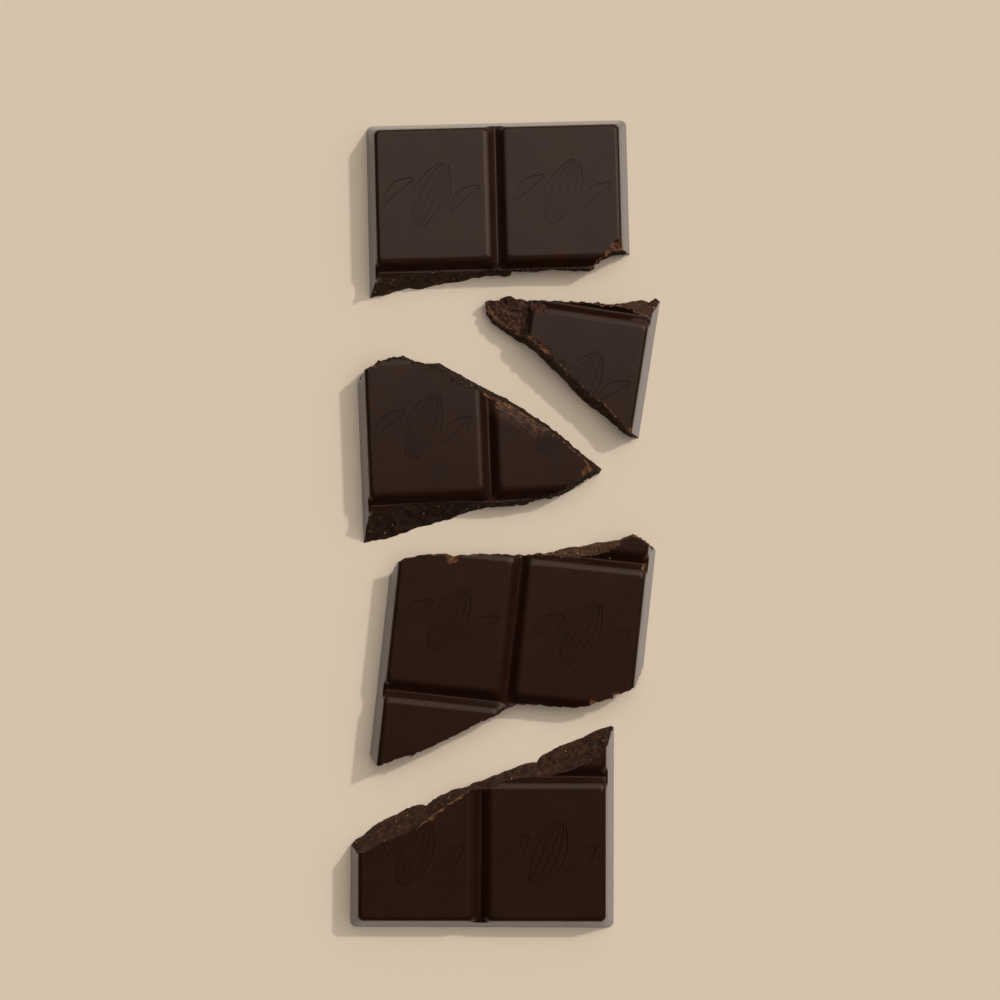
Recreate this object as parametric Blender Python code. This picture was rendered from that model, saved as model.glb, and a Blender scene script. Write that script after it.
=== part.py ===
"""A dark chocolate bar of two by four moulded squares, snapped into five fragments laid out in a column.

The bar is one moulded slab: drafted rounded sides, V grooves with a narrow floor between the squares and a
small fillet round each square's top. Each fragment is that slab cut by its own rough crack walls, then turned
and set down flat. Lengths are millimetres until the meshes are made.
"""

import math

import bmesh
import bpy
from mathutils import Vector, noise

MM = 0.001

# The moulded bar
BAR_WIDTH = 68.0
BAR_LENGTH = 156.8
THICKNESS = 8.0
ROWS = 4
SIDE_DRAFT = 2.45
BASE_CORNER_RADIUS = 1.6
COLUMN_GROOVE_X = -0.4
GROOVE_HALF_WIDTH = 2.3
GROOVE_FLOOR_HALF = 0.25
GROOVE_FLOOR_Z = 5.8
TOP_FILLET = 0.35
FILLET_BEND_DROP = 0.1
FILLET_BEND_INSET = 0.06
SQUARE_CORNER_RADIUS = 1.1
CORNER_SEGMENTS = 3
ROW_PITCH = BAR_LENGTH / ROWS
LEAST_SPREAD = 1e-5

# The crack walls
CRACK_STEP = 1.05
CRACK_LEVELS = (0.0, 0.2, 0.4, 0.6, 0.8, 1.0)
CUTTER_MARGIN = 1.0
EDGE_ROUGHNESS = 0.16
FACE_ROUGHNESS = 0.5
FACET_ROUGHNESS = 0.7
NOISE_GAIN = 1.6
GRAIN_SIZE = 2.1
GRAIN_DIMENSION = 0.8
GRAIN_LACUNARITY = 2.3
GRAIN_OCTAVES = 3
FRAGMENT_SEED_STEP = 11.0
CRACK_SEED_STEP = 7.3
CHIP_ROUGHNESS = 0.3
CHIP_LUMPS = 1.7
CHIP_SQUASH = 0.75

# Crack lines in the bar's own plan, one row a point: base x, base y, upper edge x, upper edge y
TOP_CRACK = (
    (-37.0, 33.0, -37.0, 36.0), (-33.5, 33.4, -33.0, 36.5), (-28.1, 34.5, -28.0, 37.8),
    (-23.9, 35.6, -23.7, 38.7), (-20.3, 35.1, -20.0, 38.8), (-17.7, 36.2, -17.5, 38.9),
    (-10.6, 37.0, -10.5, 39.0), (-3.8, 38.4, -3.8, 39.1), (2.6, 38.1, 2.6, 39.0),
    (3.1, 39.3, 3.3, 39.2), (9.1, 39.2, 9.1, 39.1), (13.0, 39.6, 13.0, 39.3),
    (18.0, 39.2, 18.0, 39.1), (23.5, 38.9, 23.5, 38.9), (24.2, 40.6, 25.0, 40.2),
    (26.9, 41.7, 27.5, 41.9), (28.7, 42.7, 28.4, 43.0), (30.8, 42.5, 30.4, 43.9),
    (33.7, 43.8, 32.6, 45.6), (37.0, 45.0, 37.0, 47.0),
)
UPPER_RIGHT_CRACK = (
    (38.0, 45.0, 38.0, 42.5), (33.9, 44.4, 33.9, 42.2), (32.8, 45.1, 32.6, 42.3),
    (31.1, 43.8, 31.0, 41.6), (29.1, 44.0, 29.0, 41.8), (26.3, 43.3, 26.3, 41.3),
    (23.6, 42.0, 23.6, 40.8), (18.9, 41.3, 18.9, 40.3), (12.0, 40.5, 12.0, 39.9),
    (4.4, 39.4, 4.4, 39.2), (-0.9, 38.6, -0.9, 38.4), (-4.9, 39.1, -4.7, 38.6),
    (-8.0, 38.2, -7.6, 37.6), (-11.0, 36.8, -9.9, 36.2), (-10.2, 34.2, -9.1, 34.7),
    (-8.3, 31.9, -7.4, 33.2), (-5.1, 30.5, -5.0, 31.8), (-1.3, 28.5, -1.5, 29.7),
    (1.1, 27.9, 1.3, 28.8), (5.3, 25.3, 6.2, 26.2), (9.7, 22.2, 9.8, 23.8),
    (12.6, 20.1, 13.2, 21.4), (16.3, 17.1, 16.6, 19.2), (19.8, 14.7, 20.0, 17.0),
    (23.3, 12.9, 23.4, 15.0), (26.9, 10.9, 26.6, 12.6), (29.7, 9.2, 29.3, 10.5),
    (32.2, 8.0, 31.4, 9.0), (33.6, 8.1, 33.0, 8.8), (38.0, 11.0, 38.0, 11.4),
)
MIDDLE_CRACK = (
    (-38.0, 28.5, -38.0, 29.0), (-34.0, 32.3, -33.4, 32.9), (-32.0, 35.2, -31.6, 34.8),
    (-28.5, 37.0, -28.2, 36.6), (-24.6, 38.6, -24.4, 37.9), (-22.0, 38.7, -22.0, 37.9),
    (-19.2, 37.6, -19.6, 36.6), (-16.1, 36.6, -17.3, 35.0), (-12.4, 36.6, -13.7, 33.2),
    (-11.2, 35.8, -12.0, 32.4), (-7.4, 33.5, -8.6, 31.0), (-5.0, 32.1, -5.6, 29.7),
    (-0.9, 29.6, -1.6, 28.0), (2.9, 27.4, 2.4, 26.0), (7.5, 24.8, 6.8, 23.4),
    (11.7, 21.5, 11.0, 20.3), (15.5, 18.7, 14.8, 17.8), (19.5, 15.2, 18.6, 14.6),
    (24.2, 10.9, 22.8, 10.6), (26.8, 8.9, 24.8, 8.6), (28.6, 7.3, 25.8, 7.2),
    (27.9, 6.2, 25.6, 6.3), (24.8, 5.0, 23.0, 5.2), (20.5, 2.2, 19.6, 3.0),
    (18.9, 1.3, 18.0, 2.0), (14.7, 0.5, 14.5, 0.6), (10.8, -0.1, 10.8, 0.1),
    (8.5, -0.9, 8.5, -0.4), (4.3, -1.3, 4.3, -0.6), (-0.9, -1.5, -0.9, -0.5),
    (-3.6, -1.7, -3.6, -0.4), (-6.2, -2.3, -6.2, -0.2), (-11.5, -4.1, -11.3, 0.0),
    (-19.3, -5.9, -19.0, 0.1), (-23.2, -7.1, -22.8, -0.3), (-28.7, -8.6, -28.2, -1.4),
    (-31.8, -9.0, -31.0, -2.0), (-33.7, -9.4, -32.8, -2.6), (-38.0, -10.0, -38.0, -4.0),
)
LOWER_UPPER_CRACK = (
    (-38.0, -11.0, -38.0, -9.0), (-33.8, -9.8, -33.6, -9.0), (-31.0, -9.2, -32.4, -6.7),
    (-28.0, -8.6, -30.0, -4.8), (-24.5, -7.6, -26.2, -3.9), (-20.0, -6.2, -21.6, -2.9),
    (-15.0, -5.0, -16.5, -2.9), (-11.0, -4.0, -11.4, -1.9), (-6.0, -2.4, -6.2, -1.6),
    (-0.6, -1.5, -0.6, -1.2), (4.5, -0.3, 4.5, -0.5), (8.7, 1.2, 9.0, -0.2),
    (10.7, 2.0, 11.5, 0.0), (15.5, 3.3, 15.8, 0.4), (18.6, 4.3, 18.6, 0.9),
    (21.8, 5.2, 21.4, 2.3), (24.4, 5.8, 23.6, 3.7), (26.3, 6.9, 25.6, 5.4),
    (27.8, 7.5, 27.2, 6.8), (29.5, 6.8, 29.0, 6.3), (33.6, 4.0, 33.0, 3.9),
    (38.0, 2.0, 38.0, 2.0),
)
LOWER_BOTTOM_CRACK = (
    (38.0, -25.5, 38.0, -28.0), (33.9, -26.6, 33.6, -29.6), (32.6, -26.9, 32.0, -32.0),
    (29.7, -27.3, 29.8, -33.2), (27.2, -28.6, 27.4, -34.8), (23.8, -30.1, 23.7, -36.5),
    (20.0, -31.4, 21.7, -37.6), (16.9, -33.0, 19.6, -38.4), (15.3, -34.0, 16.1, -38.8),
    (12.6, -35.8, 11.0, -39.1), (7.1, -37.5, 8.0, -38.9), (3.6, -38.8, 4.0, -39.1),
    (0.5, -40.0, 1.5, -39.9), (-2.8, -41.2, -0.8, -41.3), (-5.0, -42.2, -3.0, -42.9),
    (-8.0, -43.0, -6.7, -45.1), (-11.2, -44.4, -10.3, -47.5), (-14.6, -46.6, -15.1, -50.6),
    (-20.8, -48.3, -20.0, -53.6), (-23.2, -49.3, -23.1, -55.4), (-25.4, -50.7, -26.1, -56.5),
    (-28.6, -52.4, -28.5, -57.8), (-31.0, -54.6, -31.3, -58.9), (-33.9, -56.6, -33.0, -58.0),
    (-38.0, -57.0, -38.0, -58.0),
)
BOTTOM_CRACK = (
    (-38.0, -59.5, -38.0, -60.5), (-33.9, -57.4, -33.6, -58.6), (-32.8, -55.9, -32.6, -58.9),
    (-30.7, -54.9, -31.0, -58.9), (-28.4, -52.6, -28.8, -58.2), (-25.1, -50.8, -24.8, -56.2),
    (-20.8, -48.6, -20.6, -54.2), (-17.7, -47.2, -17.2, -52.4), (-14.3, -47.0, -13.4, -49.9),
    (-12.8, -45.6, -11.6, -48.6), (-11.0, -44.6, -9.6, -47.0), (-7.7, -43.1, -6.6, -44.9),
    (-3.6, -42.2, -3.5, -42.8), (-2.8, -41.5, -0.8, -42.6), (0.5, -40.4, 2.0, -42.4),
    (3.6, -39.1, 4.3, -41.2), (7.1, -37.8, 7.1, -40.0), (11.2, -36.1, 11.6, -39.5),
    (14.1, -35.9, 14.6, -39.3), (15.3, -34.2, 16.4, -39.1), (20.0, -31.7, 21.4, -38.1),
    (23.8, -30.4, 24.8, -36.7), (27.2, -28.9, 27.9, -35.1), (29.7, -27.5, 30.4, -33.8),
    (33.3, -26.4, 32.6, -30.5), (34.2, -27.0, 34.2, -28.4), (38.0, -28.0, 38.0, -29.0),
)
OUTSIDE_TOP = ((40.0, 85.0, 40.0, 85.0), (-40.0, 85.0, -40.0, 85.0))
OUTSIDE_BOTTOM = ((40.0, -85.0, 40.0, -85.0), (-40.0, -85.0, -40.0, -85.0))

# Small chips off the crack edges: bar plan x, y, height and radius
TOP_CHIPS = ((31.2, 44.6, 8.1, 1.5), (28.6, 42.6, 7.8, 1.1))
UPPER_RIGHT_CHIPS = ((1.4, 28.2, 8.1, 1.2), (7.0, 25.6, 8.2, 1.1), (31.6, 9.4, 8.0, 1.0))
MIDDLE_CHIPS = ((3.0, 25.6, 8.4, 1.2), (10.0, 20.6, 8.4, 1.2), (-28.6, 36.4, 7.8, 1.0))
LOWER_CHIPS = ((-17.9, -3.4, 7.8, 1.9), (22.0, -37.0, 8.1, 1.3), (27.6, -34.4, 8.2, 1.2))
BOTTOM_CHIPS = ((-13.0, -49.2, 8.0, 1.2), (33.0, -30.4, 7.4, 1.1))

# The upper right fragment's tip has lost its moulded face: a rough facet left of this line
FACET_EDGE_X = -0.9
FACET_RIM_Z = 5.6
FACET_FALL = 0.22
FACET_REACH = 12.0
FACET_LOW_Y = 26.0
FACET_HIGH_Y = 42.0
FACET_STEP = 1.0

CHOCOLATE = (0.047, 0.027, 0.02, 1.0)
ROUGHNESS = 0.42


def linked(name, mesh):
    """Adds a mesh to the scene as an object and returns the object."""
    made = bpy.data.objects.new(name, mesh)
    bpy.context.scene.collection.objects.link(made)
    return made


def mesh_from(name, points, faces):
    """Makes a closed mesh, in metres, from millimetre points, with its faces turned outward."""
    mesh = bpy.data.meshes.new(name)
    mesh.from_pydata([Vector(p) * MM for p in points], [], faces)
    work = bmesh.new()
    work.from_mesh(mesh)
    bmesh.ops.triangulate(work, faces=work.faces)
    bmesh.ops.recalc_face_normals(work, faces=work.faces)
    work.to_mesh(mesh)
    work.free()
    return mesh


def grain(place):
    """Rough relief, from about -1 to 1, at a place in millimetres."""
    return noise.fractal(Vector(place) / GRAIN_SIZE, GRAIN_DIMENSION, GRAIN_LACUNARITY, GRAIN_OCTAVES)


def surface_height(x, y):
    """Height of the moulded top over a plan point, never under the groove floor."""
    rise = THICKNESS / SIDE_DRAFT
    slope = (THICKNESS - GROOVE_FLOOR_Z) / (GROOVE_HALF_WIDTH - GROOVE_FLOOR_HALF)
    heights = [THICKNESS, (BAR_WIDTH / 2 - abs(x)) * rise, (BAR_LENGTH / 2 - abs(y)) * rise]
    offsets = [x - COLUMN_GROOVE_X] + [y - row * ROW_PITCH for row in (-1, 0, 1)]
    for offset in offsets:
        heights.append(GROOVE_FLOOR_Z + max(abs(offset) - GROOVE_FLOOR_HALF, 0.0) * slope)
    return max(min(heights), GROOVE_FLOOR_Z)


def draft_at(z):
    """How far the outer side has come in from the base edge at a height."""
    return SIDE_DRAFT * z / THICKNESS


def corner_arc(x, y, turn, radius, z, segments):
    """Points round one rounded corner; turn 0 is the corner toward +x and +y, then on counter-clockwise."""
    side_x = 1 if turn in (0, 3) else -1
    side_y = 1 if turn in (0, 1) else -1
    centre_x = x - side_x * radius
    centre_y = y - side_y * radius
    arc = []
    for step in range(segments + 1):
        angle = math.radians(90 * turn + 90 * step / segments)
        arc.append((centre_x + radius * math.cos(angle), centre_y + radius * math.sin(angle), z))
    return arc


class BarMesh:
    """Collects the bar's points, shared where neighbouring squares meet, and its faces."""

    def __init__(self):
        self.points = []
        self.faces = []
        self.known = {}

    def point(self, place):
        """Index of a point, the same one for the same place."""
        key = tuple(round(c, 4) for c in place)
        if key not in self.known:
            self.known[key] = len(self.points)
            self.points.append(place)
        return self.known[key]

    def face(self, indices):
        """Adds a face, unless its corners fall on one line."""
        tidy = [i for n, i in enumerate(indices) if i != indices[n - 1]]
        corners = [Vector(self.points[i]) for i in tidy]
        spread = Vector()
        for n, corner in enumerate(corners):
            spread += corners[n - 1].cross(corner)
        if spread.length > LEAST_SPREAD:
            self.faces.append(tidy)

    def band(self, lower, upper):
        """Joins two loops of corners, each corner a list of points, by a band of faces."""
        for turn in range(4):
            low = [self.point(p) for p in lower[turn]]
            high = [self.point(p) for p in upper[turn]]
            if len(low) == len(high):
                for n in range(len(low) - 1):
                    self.face([low[n], low[n + 1], high[n + 1], high[n]])
            else:
                for n in range(len(high) - 1):
                    self.face([low[0], high[n + 1], high[n]])
            next_low = self.point(lower[(turn + 1) % 4][0])
            next_high = self.point(upper[(turn + 1) % 4][0])
            self.face([low[-1], next_low, next_high, high[-1]])


def moulded_bar():
    """The whole unbroken bar as one closed mesh: eight squares on a drafted slab."""
    bar = BarMesh()
    half_w = BAR_WIDTH / 2
    half_l = BAR_LENGTH / 2
    column_edges = (-half_w, COLUMN_GROOVE_X, half_w)
    row_edges = [-half_l + row * ROW_PITCH for row in range(ROWS + 1)]
    floor_draft = draft_at(GROOVE_FLOOR_Z)
    for column in range(2):
        for row in range(ROWS):
            low = (column_edges[column], row_edges[row])
            high = (column_edges[column + 1], row_edges[row + 1])
            outer = (column == 0, row == 0, column == 1, row == ROWS - 1)

            def loop(z, groove_inset, outer_inset, radius):
                """The square's outline at one height, as four corners of points."""
                inset = [outer_inset if side else groove_inset for side in outer]
                x0, y0 = low[0] + inset[0], low[1] + inset[1]
                x1, y1 = high[0] - inset[2], high[1] - inset[3]
                corners = []
                for turn, (x, y) in enumerate(((x1, y1), (x0, y1), (x0, y0), (x1, y0))):
                    sides = ((2, 3), (0, 3), (0, 1), (2, 1))[turn]
                    at_bar_corner = outer[sides[0]] and outer[sides[1]]
                    size = max(radius, BASE_CORNER_RADIUS) if at_bar_corner else radius
                    corners.append(corner_arc(x, y, turn, size, z, CORNER_SEGMENTS) if size else [(x, y, z)])
                return corners

            edge_z = THICKNESS - TOP_FILLET
            bend_z = THICKNESS - FILLET_BEND_DROP
            slope = (GROOVE_HALF_WIDTH - GROOVE_FLOOR_HALF) / (THICKNESS - GROOVE_FLOOR_Z)
            edge_inset = GROOVE_FLOOR_HALF + slope * (edge_z - GROOVE_FLOOR_Z)
            bend_inset = GROOVE_FLOOR_HALF + slope * (bend_z - GROOVE_FLOOR_Z) + FILLET_BEND_INSET
            round_r = SQUARE_CORNER_RADIUS
            loops = (
                loop(GROOVE_FLOOR_Z, 0.0, floor_draft, 0.0),
                loop(GROOVE_FLOOR_Z, GROOVE_FLOOR_HALF, floor_draft, 0.0),
                loop(edge_z, edge_inset, draft_at(edge_z), round_r),
                loop(bend_z, bend_inset, draft_at(bend_z) + FILLET_BEND_INSET, round_r),
                loop(THICKNESS, GROOVE_HALF_WIDTH + TOP_FILLET, SIDE_DRAFT + TOP_FILLET, round_r),
            )
            for lower, upper in zip(loops, loops[1:]):
                bar.band(lower, upper)
            bar.face([bar.point(p) for corner in loops[-1] for p in corner])
    side_wall(bar, column_edges, row_edges, floor_draft)
    return mesh_from("moulded bar", bar.points, bar.faces)


def side_wall(bar, column_edges, row_edges, floor_draft):
    """The drafted outer wall from the base up to the groove floor, with the flat underside."""
    half_w = BAR_WIDTH / 2
    half_l = BAR_LENGTH / 2
    loops = []
    for z, inset in ((0.0, 0.0), (GROOVE_FLOOR_Z, floor_draft)):
        right, left, front, back = half_w - inset, -half_w + inset, -half_l + inset, half_l - inset
        loop = corner_arc(right, back, 0, BASE_CORNER_RADIUS, z, CORNER_SEGMENTS)
        loop += groove_ends([(COLUMN_GROOVE_X, back, z)], 0)
        loop += corner_arc(left, back, 1, BASE_CORNER_RADIUS, z, CORNER_SEGMENTS)
        loop += groove_ends([(left, y, z) for y in reversed(row_edges[1:-1])], 1)
        loop += corner_arc(left, front, 2, BASE_CORNER_RADIUS, z, CORNER_SEGMENTS)
        loop += groove_ends([(COLUMN_GROOVE_X, front, z)], 2)
        loop += corner_arc(right, front, 3, BASE_CORNER_RADIUS, z, CORNER_SEGMENTS)
        loop += groove_ends([(right, y, z) for y in row_edges[1:-1]], 3)
        loops.append([bar.point(p) for p in loop])
    base, floor = loops
    for n in range(len(base)):
        bar.face([base[n - 1], base[n], floor[n], floor[n - 1]])
    bar.face(base)


def groove_ends(places, turn):
    """Each groove's end on the outer wall: both edges of its floor and the middle, in travel order."""
    along = ((-1, 0), (0, -1), (1, 0), (0, 1))[turn]
    ends = []
    for x, y, z in places:
        for offset in (-GROOVE_FLOOR_HALF, 0.0, GROOVE_FLOOR_HALF):
            ends.append((x + along[0] * offset, y + along[1] * offset, z))
    return ends


def crack_columns(crack, seed):
    """Splits a crack line into even steps and gives each step its column of rough wall points."""
    columns = []
    for start, end in zip(crack, crack[1:]):
        length = max(math.hypot(end[0] - start[0], end[1] - start[1]),
                     math.hypot(end[2] - start[2], end[3] - start[3]))
        steps = max(1, round(length / CRACK_STEP))
        for step in range(steps):
            share = step / steps
            columns.append([a + (b - a) * share for a, b in zip(start, end)])
    columns.append(list(crack[-1]))
    walls = []
    for n, (base_x, base_y, top_x, top_y) in enumerate(columns):
        before = columns[max(n - 1, 0)]
        after = columns[min(n + 1, len(columns) - 1)]
        along = Vector((after[0] + after[2] - before[0] - before[2], after[1] + after[3] - before[1] - before[3]))
        along.normalize()
        outward = Vector((along.y, -along.x))
        reach = surface_height(top_x, top_y)
        wall = []
        for level in CRACK_LEVELS:
            x = base_x + (top_x - base_x) * level
            y = base_y + (top_y - base_y) * level
            z = reach * level
            depth = EDGE_ROUGHNESS + (FACE_ROUGHNESS - EDGE_ROUGHNESS) * math.sin(math.pi * level)
            push = NOISE_GAIN * depth * grain((x + seed, y, z + seed))
            wall.append((x + outward.x * push, y + outward.y * push, z))
        foot, head = wall[0], wall[-1]
        wall.insert(0, (foot[0], foot[1], -CUTTER_MARGIN))
        wall.append((head[0], head[1], THICKNESS + CUTTER_MARGIN))
        walls.append(wall)
    return walls


def crack_prism(name, cracks, seed):
    """The closed upright body one fragment keeps: rough walls along its cracks, plain ones outside the bar."""
    columns = []
    for n, crack in enumerate(cracks):
        if len(crack) > 2:
            columns += crack_columns(crack, seed + CRACK_SEED_STEP * n)
        else:
            levels = [-CUTTER_MARGIN] + [THICKNESS * level for level in CRACK_LEVELS] + [THICKNESS + CUTTER_MARGIN]
            columns += [[(row[0], row[1], z) for z in levels] for row in crack]
    points = [p for column in columns for p in column]
    height = len(columns[0])
    count = len(columns)
    faces = []
    for n in range(count):
        here = n * height
        there = ((n + 1) % count) * height
        for level in range(height - 1):
            faces.append([here + level, there + level, there + level + 1, here + level + 1])
    faces.append([n * height for n in range(count)])
    faces.append([n * height + height - 1 for n in range(count)])
    return linked(name, mesh_from(name, points, faces))


def chip(name, x, y, z, radius):
    """A rough squashed ball that takes one chip off a crack edge."""
    work = bmesh.new()
    bmesh.ops.create_icosphere(work, subdivisions=2, radius=radius)
    for vertex in work.verts:
        swell = 1.0 + CHIP_ROUGHNESS * noise.noise(vertex.co * CHIP_LUMPS + Vector((x, y, z)))
        vertex.co = Vector((vertex.co.x * swell, vertex.co.y * swell, vertex.co.z * swell * CHIP_SQUASH))
        vertex.co = (vertex.co + Vector((x, y, z))) * MM
    mesh = bpy.data.meshes.new(name)
    work.to_mesh(mesh)
    work.free()
    return linked(name, mesh)


def tip_facet(name):
    """A block with a rough sloping underside, which breaks the moulded face off the fragment's tip."""
    across = round(FACET_REACH / FACET_STEP)
    along = round((FACET_HIGH_Y - FACET_LOW_Y) / FACET_STEP)
    points = []
    for level in range(2):
        for i in range(across + 1):
            for j in range(along + 1):
                x = FACET_EDGE_X - i * FACET_STEP
                y = FACET_LOW_Y + j * FACET_STEP
                rough = FACET_ROUGHNESS * grain((x, y, 0.0))
                low = FACET_RIM_Z - i * FACET_STEP * FACET_FALL + rough * min(i, 1)
                points.append((x, y, low if level == 0 else THICKNESS + CUTTER_MARGIN))
    side = along + 1
    top = (across + 1) * side
    faces = []
    for i in range(across):
        for j in range(along):
            corner = i * side + j
            faces.append([corner, corner + 1, corner + side + 1])
            faces.append([corner, corner + side + 1, corner + side])
            faces.append([top + corner, top + corner + side, top + corner + side + 1, top + corner + 1])
    rim = [j for j in range(side)]
    rim += [i * side + along for i in range(1, across + 1)]
    rim += [across * side + j for j in range(along - 1, -1, -1)]
    rim += [i * side for i in range(across - 1, 0, -1)]
    for n in range(len(rim)):
        faces.append([rim[n - 1], rim[n], top + rim[n], top + rim[n - 1]])
    return linked(name, mesh_from(name, points, faces))


def apply_boolean(body, operation, tool):
    """Runs one Boolean on the body with a tool object and removes the tool."""
    cut = body.modifiers.new(operation.lower(), "BOOLEAN")
    cut.operation = operation
    cut.solver = "EXACT"
    cut.object = tool
    bpy.context.view_layer.update()
    result = bpy.data.meshes.new_from_object(body.evaluated_get(bpy.context.evaluated_depsgraph_get()))
    body.modifiers.clear()
    body.data = result
    bpy.data.objects.remove(tool)


def chocolate(name):
    """Dark chocolate with the satin face that a mould leaves."""
    material = bpy.data.materials.new(name)
    material.use_nodes = True
    shader = material.node_tree.nodes["Principled BSDF"]
    shader.inputs["Base Color"].default_value = CHOCOLATE
    shader.inputs["Roughness"].default_value = ROUGHNESS
    return material


# Fragments as they lie: name, cracks in order, chips, turn in degrees, and where the bar's centre falls
FRAGMENTS = (
    ("top_fragment", (TOP_CRACK, OUTSIDE_TOP), TOP_CHIPS, 1.4, (0.9, 20.25)),
    ("upper_right_fragment", (UPPER_RIGHT_CRACK,), UPPER_RIGHT_CHIPS, -9.0, (1.2, 13.25)),
    ("middle_fragment", (MIDDLE_CRACK,), MIDDLE_CHIPS, 2.4, (-1.8, -0.4)),
    ("lower_fragment", (LOWER_UPPER_CRACK, LOWER_BOTTOM_CRACK), LOWER_CHIPS, -6.2, (6.2, -13.4)),
    ("bottom_fragment", (BOTTOM_CRACK, OUTSIDE_BOTTOM), BOTTOM_CHIPS, -0.2, (-4.4, -32.0)),
)


def fragment(bar, name, cracks, chips, seed):
    """Breaks one fragment out of the bar and returns its object."""
    body = linked(name, bar.copy())
    body.data.name = name
    apply_boolean(body, "INTERSECT", crack_prism(name + " walls", cracks, seed))
    for n, (x, y, z, radius) in enumerate(chips):
        apply_boolean(body, "DIFFERENCE", chip(f"{name} chip {n}", x, y, z, radius))
    if name == "upper_right_fragment":
        apply_boolean(body, "DIFFERENCE", tip_facet(name + " facet"))
    body.data.materials.clear()
    body.data.materials.append(chocolate(name + " chocolate"))
    return body


def main():
    """Builds the bar, breaks it and lays the fragments out round the middle of their plan."""
    for old in list(bpy.data.objects):
        bpy.data.objects.remove(old)
    bar = moulded_bar()
    placed = []
    for seed, (name, cracks, chips, turn, centre) in enumerate(FRAGMENTS):
        body = fragment(bar, name, cracks, chips, FRAGMENT_SEED_STEP * seed)
        body.rotation_euler = (0.0, 0.0, math.radians(turn))
        body.location = (centre[0] * MM, centre[1] * MM, 0.0)
        placed.append(body)
    bpy.data.meshes.remove(bar)
    bpy.context.view_layer.update()
    corners = [body.matrix_world @ vertex.co for body in placed for vertex in body.data.vertices]
    for axis in (0, 1):
        middle = (min(c[axis] for c in corners) + max(c[axis] for c in corners)) / 2
        for body in placed:
            body.location[axis] -= middle


main()
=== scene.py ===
"""A dark chocolate bar snapped by hand into rough fragments that lie flat in a column.

The fragments are modelled again here, finer than the frame's solids: soft moulded edges, a pressed pod and leaf on
each square, granular crack walls, fresh chips along the rims and loose grains. Shapes are drawn in millimetres in the
bar's own plan, then turned and set down where the frame has them.
"""

import logging
import math
import random
from collections.abc import Callable, Iterator, Sequence
from contextlib import contextmanager
from dataclasses import dataclass
from enum import Enum

import bmesh
import bpy
from mathutils import Matrix, Vector, noise


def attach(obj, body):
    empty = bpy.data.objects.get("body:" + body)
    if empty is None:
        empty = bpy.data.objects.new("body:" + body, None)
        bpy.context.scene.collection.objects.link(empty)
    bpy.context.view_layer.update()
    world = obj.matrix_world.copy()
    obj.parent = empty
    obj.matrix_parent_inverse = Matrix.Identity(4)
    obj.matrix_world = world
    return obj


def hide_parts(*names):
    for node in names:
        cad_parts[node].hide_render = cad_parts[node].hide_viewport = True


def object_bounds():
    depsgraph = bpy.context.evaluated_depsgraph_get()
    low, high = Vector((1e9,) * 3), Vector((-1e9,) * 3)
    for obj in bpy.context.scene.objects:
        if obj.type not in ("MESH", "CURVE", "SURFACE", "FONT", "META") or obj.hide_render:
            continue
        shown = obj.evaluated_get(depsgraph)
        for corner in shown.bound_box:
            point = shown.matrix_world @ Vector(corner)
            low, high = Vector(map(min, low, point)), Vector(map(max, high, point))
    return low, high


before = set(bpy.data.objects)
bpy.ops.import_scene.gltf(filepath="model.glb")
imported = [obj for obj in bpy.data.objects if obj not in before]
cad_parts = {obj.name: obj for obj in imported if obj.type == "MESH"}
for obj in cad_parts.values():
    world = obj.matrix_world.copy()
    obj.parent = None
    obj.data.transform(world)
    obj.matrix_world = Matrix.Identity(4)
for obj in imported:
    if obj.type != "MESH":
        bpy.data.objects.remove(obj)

LOG = logging.getLogger("chocolate")
MM = 0.001
BODY = "root"
CAD_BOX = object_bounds()

CrackRow = tuple[float, float, float, float]
Plan = tuple[float, float]


class Cut(Enum):
    """What one Boolean does to a body."""

    KEEP = "INTERSECT"
    CARVE = "DIFFERENCE"
    ADD = "UNION"


class Surface(Enum):
    """Material slots of a fragment, in order."""

    MOULDED = 0
    SIDE = 1
    BROKEN = 2
    CHIPPED = 3


def linear(colour: str) -> tuple[float, float, float, float]:
    """Turns an sRGB hex colour to linear light.

    Args:
        colour: Six hex digits.

    Returns:
        Linear red, green and blue with an alpha of one.
    """
    values = []
    for place in (0, 2, 4):
        share = int(colour[place : place + 2], 16) / 255
        values.append(share / 12.92 if share <= 0.04045 else ((share + 0.055) / 1.055) ** 2.4)
    return (values[0], values[1], values[2], 1.0)


def pick_only(piece: bpy.types.Object) -> None:
    """Leaves one object selected and active."""
    bpy.ops.object.select_all(action="DESELECT")
    piece.select_set(True)
    bpy.context.view_layer.objects.active = piece


@contextmanager
def editing(piece: bpy.types.Object) -> Iterator[None]:
    """Opens an object in edit mode with nothing selected, and closes it after."""
    pick_only(piece)
    bpy.ops.object.mode_set(mode="EDIT")
    bpy.ops.mesh.select_all(action="DESELECT")
    yield
    bpy.ops.object.mode_set(mode="OBJECT")


def pick_edges(piece: bpy.types.Object, test: Callable[[Vector, Vector], bool]) -> None:
    """Selects, in edit mode, the edges whose two ends pass a test.

    Args:
        piece: The object being edited.
        test: Takes the places of an edge's two ends.
    """
    bpy.ops.mesh.select_mode(type="EDGE")
    shape = bmesh.from_edit_mesh(piece.data)
    for edge in shape.edges:
        edge.select_set(test(edge.verts[0].co, edge.verts[1].co))
    bmesh.update_edit_mesh(piece.data)


def pick_faces(piece: bpy.types.Object, test: Callable[[Vector, Vector], bool]) -> None:
    """Selects, in edit mode, the faces whose middle and normal pass a test.

    Args:
        piece: The object being edited.
        test: Takes a face's middle and its normal.
    """
    bpy.ops.mesh.select_mode(type="FACE")
    shape = bmesh.from_edit_mesh(piece.data)
    for face in shape.faces:
        face.select_set(test(face.calc_center_median(), face.normal))
    bmesh.update_edit_mesh(piece.data)


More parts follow.
